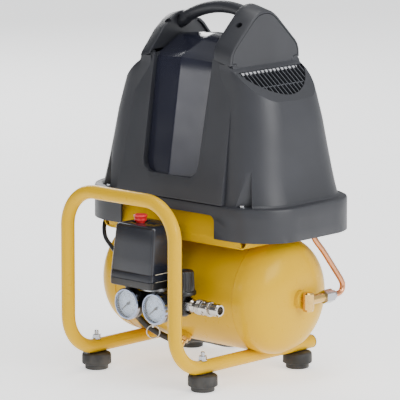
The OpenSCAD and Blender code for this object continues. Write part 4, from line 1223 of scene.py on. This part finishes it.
class BuildSwitch(bpy.types.Operator):
    """Shapes the pressure switch's cover and knob and finishes its base"""

    bl_idname = "compressor.switch"
    bl_label = "Pressure switch"

    def execute(self, context):
        low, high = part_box("switch_cover")
        mid = middle("switch_cover")
        d = (high[1] - low[1]) / MM
        z0, z1 = low[2] / MM, high[2] / MM + 3.5
        mid.x = at(-7, 0, 0).x
        rings = []
        for z, inset, r in (
            (z0, 1.1, 4), (z0 + 0.8, 0.2, 5), (z0 + 10, 0.0, 5), (z0 + 10.4, 0.7, 5),
            (z0 + 11.2, 0.7, 5), (z0 + 11.6, 0.0, 5), (z0 + 30, 0.0, 5), (z0 + 50, 0.0, 5),
            (z1 - 4, 0.0, 5), (z1 - 1.8, 0.5, 5), (z1 - 0.5, 1.7, 5), (z1, 3.4, 4),
        ):
            part = (z - z0) / (z1 - z0)
            slope, flare = 6 * part, 6.5 * (1 - part)
            centre = Vector((mid.x - flare * MM / 2, mid.y + slope * MM / 2, 0))
            w = 72 + flare
            rings.append(rounded_ring(centre, w - 2 * inset, d - slope - 2 * inset, r, z, 6))
        cover = loft("switch_cover_shell", rings)
        knob = middle("switch_knob")
        well = rod("well", (knob.x, knob.y, z1 * MM - 0.0056), (0, 0, 1), 10.2, 12, 48)
        slot = block(
            "slot", (mid.x + 0.004, mid.y - 0.004, z1 * MM - 0.003),
            (mid.x + 0.017, mid.y + 0.0005, z1 * MM + 0.004),
        )
        cut(cover, well, slot)
        cavity = block(
            "cavity", (mid.x - 0.033, low[1] + 0.006, low[2] - 0.01),
            (mid.x + 0.033, high[1] - 0.006, high[2] - 0.004),
        )
        cut(cover, cavity)
        round_edges(cover, 0.5, 2, 50)
        place(smooth(cover, 30), "switch", "switch_plastic", "switch_cover")

        low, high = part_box("switch_knob")
        z = high[2] / MM
        top = turning("red_push_knob", (knob.x, knob.y, 0), (0, 0, 1), [
            (5.9, low[2] / MM), (5.9, z - 8.7), (8.3, z - 8.6), (8.6, z - 7.6), (8.5, z - 6.4),
            (8.4, z - 5.0), (8.8, z - 3.8), (9.5, z - 3.0), (9.75, z - 1.8), (9.4, z - 0.6),
            (8.6, z - 0.1), (7.4, z), (4, z - 0.5), (1, z - 0.6),
        ], 48)
        place(smooth(top, 40), "red", "red_plastic", "switch_knob", body="switch_knob")

        low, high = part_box("switch_base")
        z0, z1 = low[2] / MM, high[2] / MM
        centre = Vector((at(-10, 0, 0).x, middle("switch_base").y, 0))
        base = loft("switch_base_shell", [
            rounded_ring(centre, 79 - 2 * inset, (high[1] - low[1]) / MM - 3 - 2 * inset, 5, z, 6)
            for z, inset in ((z0, 1.5), (z0 + 0.8, 0.4), (z0 + 1.6, 0), (z1 - 0.2, 0), (z1, 0.2))
        ])
        place(smooth(base, 30), "black", "switch_base_plastic", "switch_base")
        dress("black", "cable_glands")
        dress("zinc", "cover_screw")
        dress("cast", "pressure_housing")
        dress("cream", "contact_block")
        return {"FINISHED"}


SCALE_START, SCALE_SWEEP = -130, 270


def clockwise(degrees):
    """The way from a dial's middle at an angle from upright."""
    return Vector((math.sin(math.radians(degrees)), 0, math.cos(math.radians(degrees))))


def raised(name, ring, height):
    """A flat mark on a dial, raised by a height in metres."""
    return skin(name, [ring, [p + Vector((0, -height, 0)) for p in ring]])


def dial_marks(centre, radius):
    """Ticks, arcs and figures of a gauge's scale, standing a hair proud of the card."""
    pieces = []
    for k in range(31):
        direction = clockwise(SCALE_START + SCALE_SWEEP * k / 30)
        across = Vector((direction.z, 0, -direction.x))
        length, wide = (3.0, 0.32) if k % 5 == 0 else (1.7, 0.18)
        pieces.append(raised("tick", [
            centre + direction * r * MM + across * w * MM
            for r, w in (
                (radius - length, -wide), (radius - length, wide), (radius, wide), (radius, -wide),
            )
        ], 0.00012))
    for start, end, outer, inner in ((-130, 140, 3.6, 3.9), (-60, 60, 8.0, 8.2)):
        ways = [clockwise(start + (end - start) * i / 40) for i in range(41)]
        ring = [centre + way * (radius - outer) * MM for way in ways]
        ring += [centre + way * (radius - inner) * MM for way in reversed(ways)]
        pieces.append(raised("arc", ring, 0.0001))
    for k in range(7):
        spot = centre + clockwise(SCALE_START + SCALE_SWEEP * k / 6) * (radius - 6.3) * MM
        clear()
        bpy.ops.object.text_add(location=spot, rotation=(math.radians(90), 0, 0))
        text = bpy.context.object
        text.data.body = str(k * 2)
        text.data.size = 0.0032
        text.data.align_x = "CENTER"
        text.data.align_y = "CENTER"
        text.data.extrude = 0.00008
        text.data.resolution_u = 2
        mesh = as_mesh(text)
        pieces.append(settle(mesh))
    return pieces


class BuildGauges(bpy.types.Operator):
    """Draws the gauges' scales and finishes their cases, rims, needles and lenses"""

    bl_idname = "compressor.gauges"
    bl_label = "Gauges"

    def execute(self, context):
        low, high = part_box("gauge_dials")
        face = low[1]
        radius = (high[2] - low[2]) / 2 / MM
        z = (low[2] + high[2]) / 2
        marks, cards = [], []
        for x in (low[0] + radius * MM, high[0] - radius * MM):
            cards.append(turning("card", (x, face + 0.001, z), (0, -1, 0), [
                (1.1, 0), (radius, 0), (radius, 1.0), (radius - 0.4, 1.0), (radius - 2, 1.0),
                (2.0, 1.0), (1.1, 1.0),
            ], 64))
            marks += dial_marks(Vector((x, face - 0.00002, z)), radius - 1.6)
        card = join("gauge_cards", cards)
        place(smooth(card, 30), "dial", "dial_white", "gauge_dials")
        scale = join("gauge_scales", marks)
        place(scale, "ink", "needle_black")
        dress("black_coat", "gauge_cases")
        dress("steel_bezel", "gauge_bezels")
        dress("lens", "gauge_lenses")
        dress("black_coat", "needle_left", "needle_right", "air_manifold")
        return {"FINISHED"}


class BuildOutlet(bpy.types.Operator):
    """Shapes the regulator's ribbed knob and the hose coupler"""

    bl_idname = "compressor.outlet"
    bl_label = "Regulator and coupler"

    def execute(self, context):
        low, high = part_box("regulator_knob")
        axis = middle("regulator_knob")
        z0, z1 = low[2] / MM, high[2] / MM
        ribs, per = 22, 8
        rings = []
        for z, r, depth in (
            (z0, 17.2, 0), (z0 + 0.6, 17.9, 0), (z0 + 3.6, 18.0, 0), (z0 + 4.8, 17.4, 0),
            (z0 + 5.6, 16.0, 0.2), (z0 + 6.6, 15.6, 0.9), (z0 + 18, 15.1, 0.9),
            (z1 - 3.4, 14.5, 0.9), (z1 - 1.6, 14.2, 0.6), (z1 - 0.5, 13.4, 0.2), (z1, 12.2, 0),
            (z1, 9.0, 0), (z1 - 0.9, 8.4, 0), (z1 - 0.9, 3.0, 0),
        ):
            ring = []
            for k in range(ribs * per):
                wave = max(0.0, math.cos(2 * math.pi * k / per)) ** 0.5
                rr = (r - depth + depth * wave) * MM
                a = 2 * math.pi * k / (ribs * per)
                ring.append(Vector((axis.x + rr * math.cos(a), axis.y + rr * math.sin(a), z * MM)))
            rings.append(ring)
        knob = loft("ribbed_knob", rings)
        bar = block(
            "bar", (axis.x - 0.006, axis.y - 0.001, (z1 - 1.2) * MM),
            (axis.x + 0.006, axis.y + 0.001, (z1 - 0.1) * MM),
        )
        round_edges(bar, 0.3, 2)
        knob = join("ribbed_knob", [knob, bar])
        place(
            smooth(knob, 35), "black", "switch_base_plastic", "regulator_knob",
            body="regulator_knob",
        )

        low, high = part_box("coupler_sleeve")
        mid = middle("coupler_sleeve")
        length = (high[0] - low[0]) / MM
        big = (high[2] - low[2]) / 2 / MM
        profile = [(8.2, 0), (big - 1.2, 0), (big - 0.2, 0.9), (big, 1.8)]
        for k in range(3):
            x = 4.2 + 2.2 * k
            profile += [(big, x - 0.5), (big - 0.6, x - 0.2), (big - 0.6, x + 0.3), (big, x + 0.6)]
        profile += [(big, 12), (big - 0.7, 12.8), (big - 0.7, length - 5), (big, length - 4.2)]
        profile += [(big, length - 1.2), (big - 0.4, length - 0.3), (big - 1.2, length)]
        profile += [(8.2, length)]
        sleeve = turning("sliding_sleeve", (low[0], mid.y, mid.z), (1, 0, 0), profile, 64)
        cutters = []
        for k in range(8):
            a = math.pi / 8 + k * math.pi / 4
            way = Vector((0, math.cos(a), math.sin(a)))
            foot = Vector((low[0] + 0.0165, mid.y, mid.z)) + way * 0.0088
            cutters.append(rod("window", foot, way, 1.9, 5, 20))
        cut(sleeve, *cutters)
        place(smooth(sleeve, 35), "nickel", "nickel", "coupler_sleeve", body="coupler_sleeve")
        dress("nickel", "coupler_body", "safety_stem", "pull_ring")
        dress("black_coat", "regulator_body")
        dress("brass", "safety_valve")
        return {"FINISHED"}


PIPE_ROUTE = [
    (68, 40, 395.5), (80, 40, 395.6), (92, 42, 392), (100, 45, 374), (112, 50, 334),
    (128, 56, 286), (141, 60, 248), (152, 62, 220), (158.5, 64, 196), (165, 76, 176),
    (170.5, 91, 152), (174.5, 100.5, 136), (176, 104, 127), (176.4, 101.5, 119.5),
    (176.2, 95, 116), (176.2, 86, 115.5), (176.2, 70, 115.5),
]


class BuildLine(bpy.types.Operator):
    """Bends the copper delivery pipe and finishes the pump's pieces"""

    bl_idname = "compressor.line"
    bl_label = "Delivery line and pump"

    def execute(self, context):
        pipe = curve_through("copper_pipe_run", flow([at(*p) for p in PIPE_ROUTE], 6), 0.008, 6)
        place(pipe, "copper", "copper", "delivery_pipe")
        dress("zinc", "pipe_nuts", "hood_screws")
        dress("cast", "crankcase", "motor_housing", "pump_cylinder", "cylinder_head")
        dress("cast", "piston_rod", "ball_bearings", "rotor_shaft")
        dress("laminations", "motor_stator")
        dress("fan", "cooling_fan")
        dress("rubber", "pump_mounts")
        dress("black", "intake_filter")
        return {"FINISHED"}


class CompressorPanel(bpy.types.Panel):
    """Lists the compressor's pieces and its sizes"""

    bl_label = "Air compressor"
    bl_idname = "VIEW3D_PT_compressor"
    bl_space_type = "VIEW_3D"
    bl_region_type = "UI"
    bl_category = "Compressor"

    def draw(self, context):
        for name in ("enamel_colour", "hood_colour", "edge_round", "slat_count", "light_power"):
            self.layout.prop(context.scene.compressor_sizes, name)
        for step in STEPS:
            self.layout.operator(step.bl_idname)


STEPS = (
    BuildStage, BuildCords, BuildTank, BuildFeet, BuildPlatform, BuildHood, BuildSwitch,
    BuildGauges, BuildOutlet, BuildLine,
)


def register():
    for kind in (CompressorSizes, *STEPS, CompressorPanel):
        bpy.utils.register_class(kind)
    bpy.types.Scene.compressor_sizes = bpy.props.PointerProperty(type=CompressorSizes)


def unregister():
    del bpy.types.Scene.compressor_sizes
    for kind in reversed((CompressorSizes, *STEPS, CompressorPanel)):
        bpy.utils.unregister_class(kind)


def main():
    register()
    mix_finishes()
    bpy.ops.compressor.stage()
    bpy.ops.compressor.cords()
    bpy.ops.compressor.tank()
    bpy.ops.compressor.feet()
    bpy.ops.compressor.platform()
    bpy.ops.compressor.hood()
    bpy.ops.compressor.switch()
    bpy.ops.compressor.gauges()
    bpy.ops.compressor.outlet()
    bpy.ops.compressor.line()


if __name__ == "__main__":
    main()
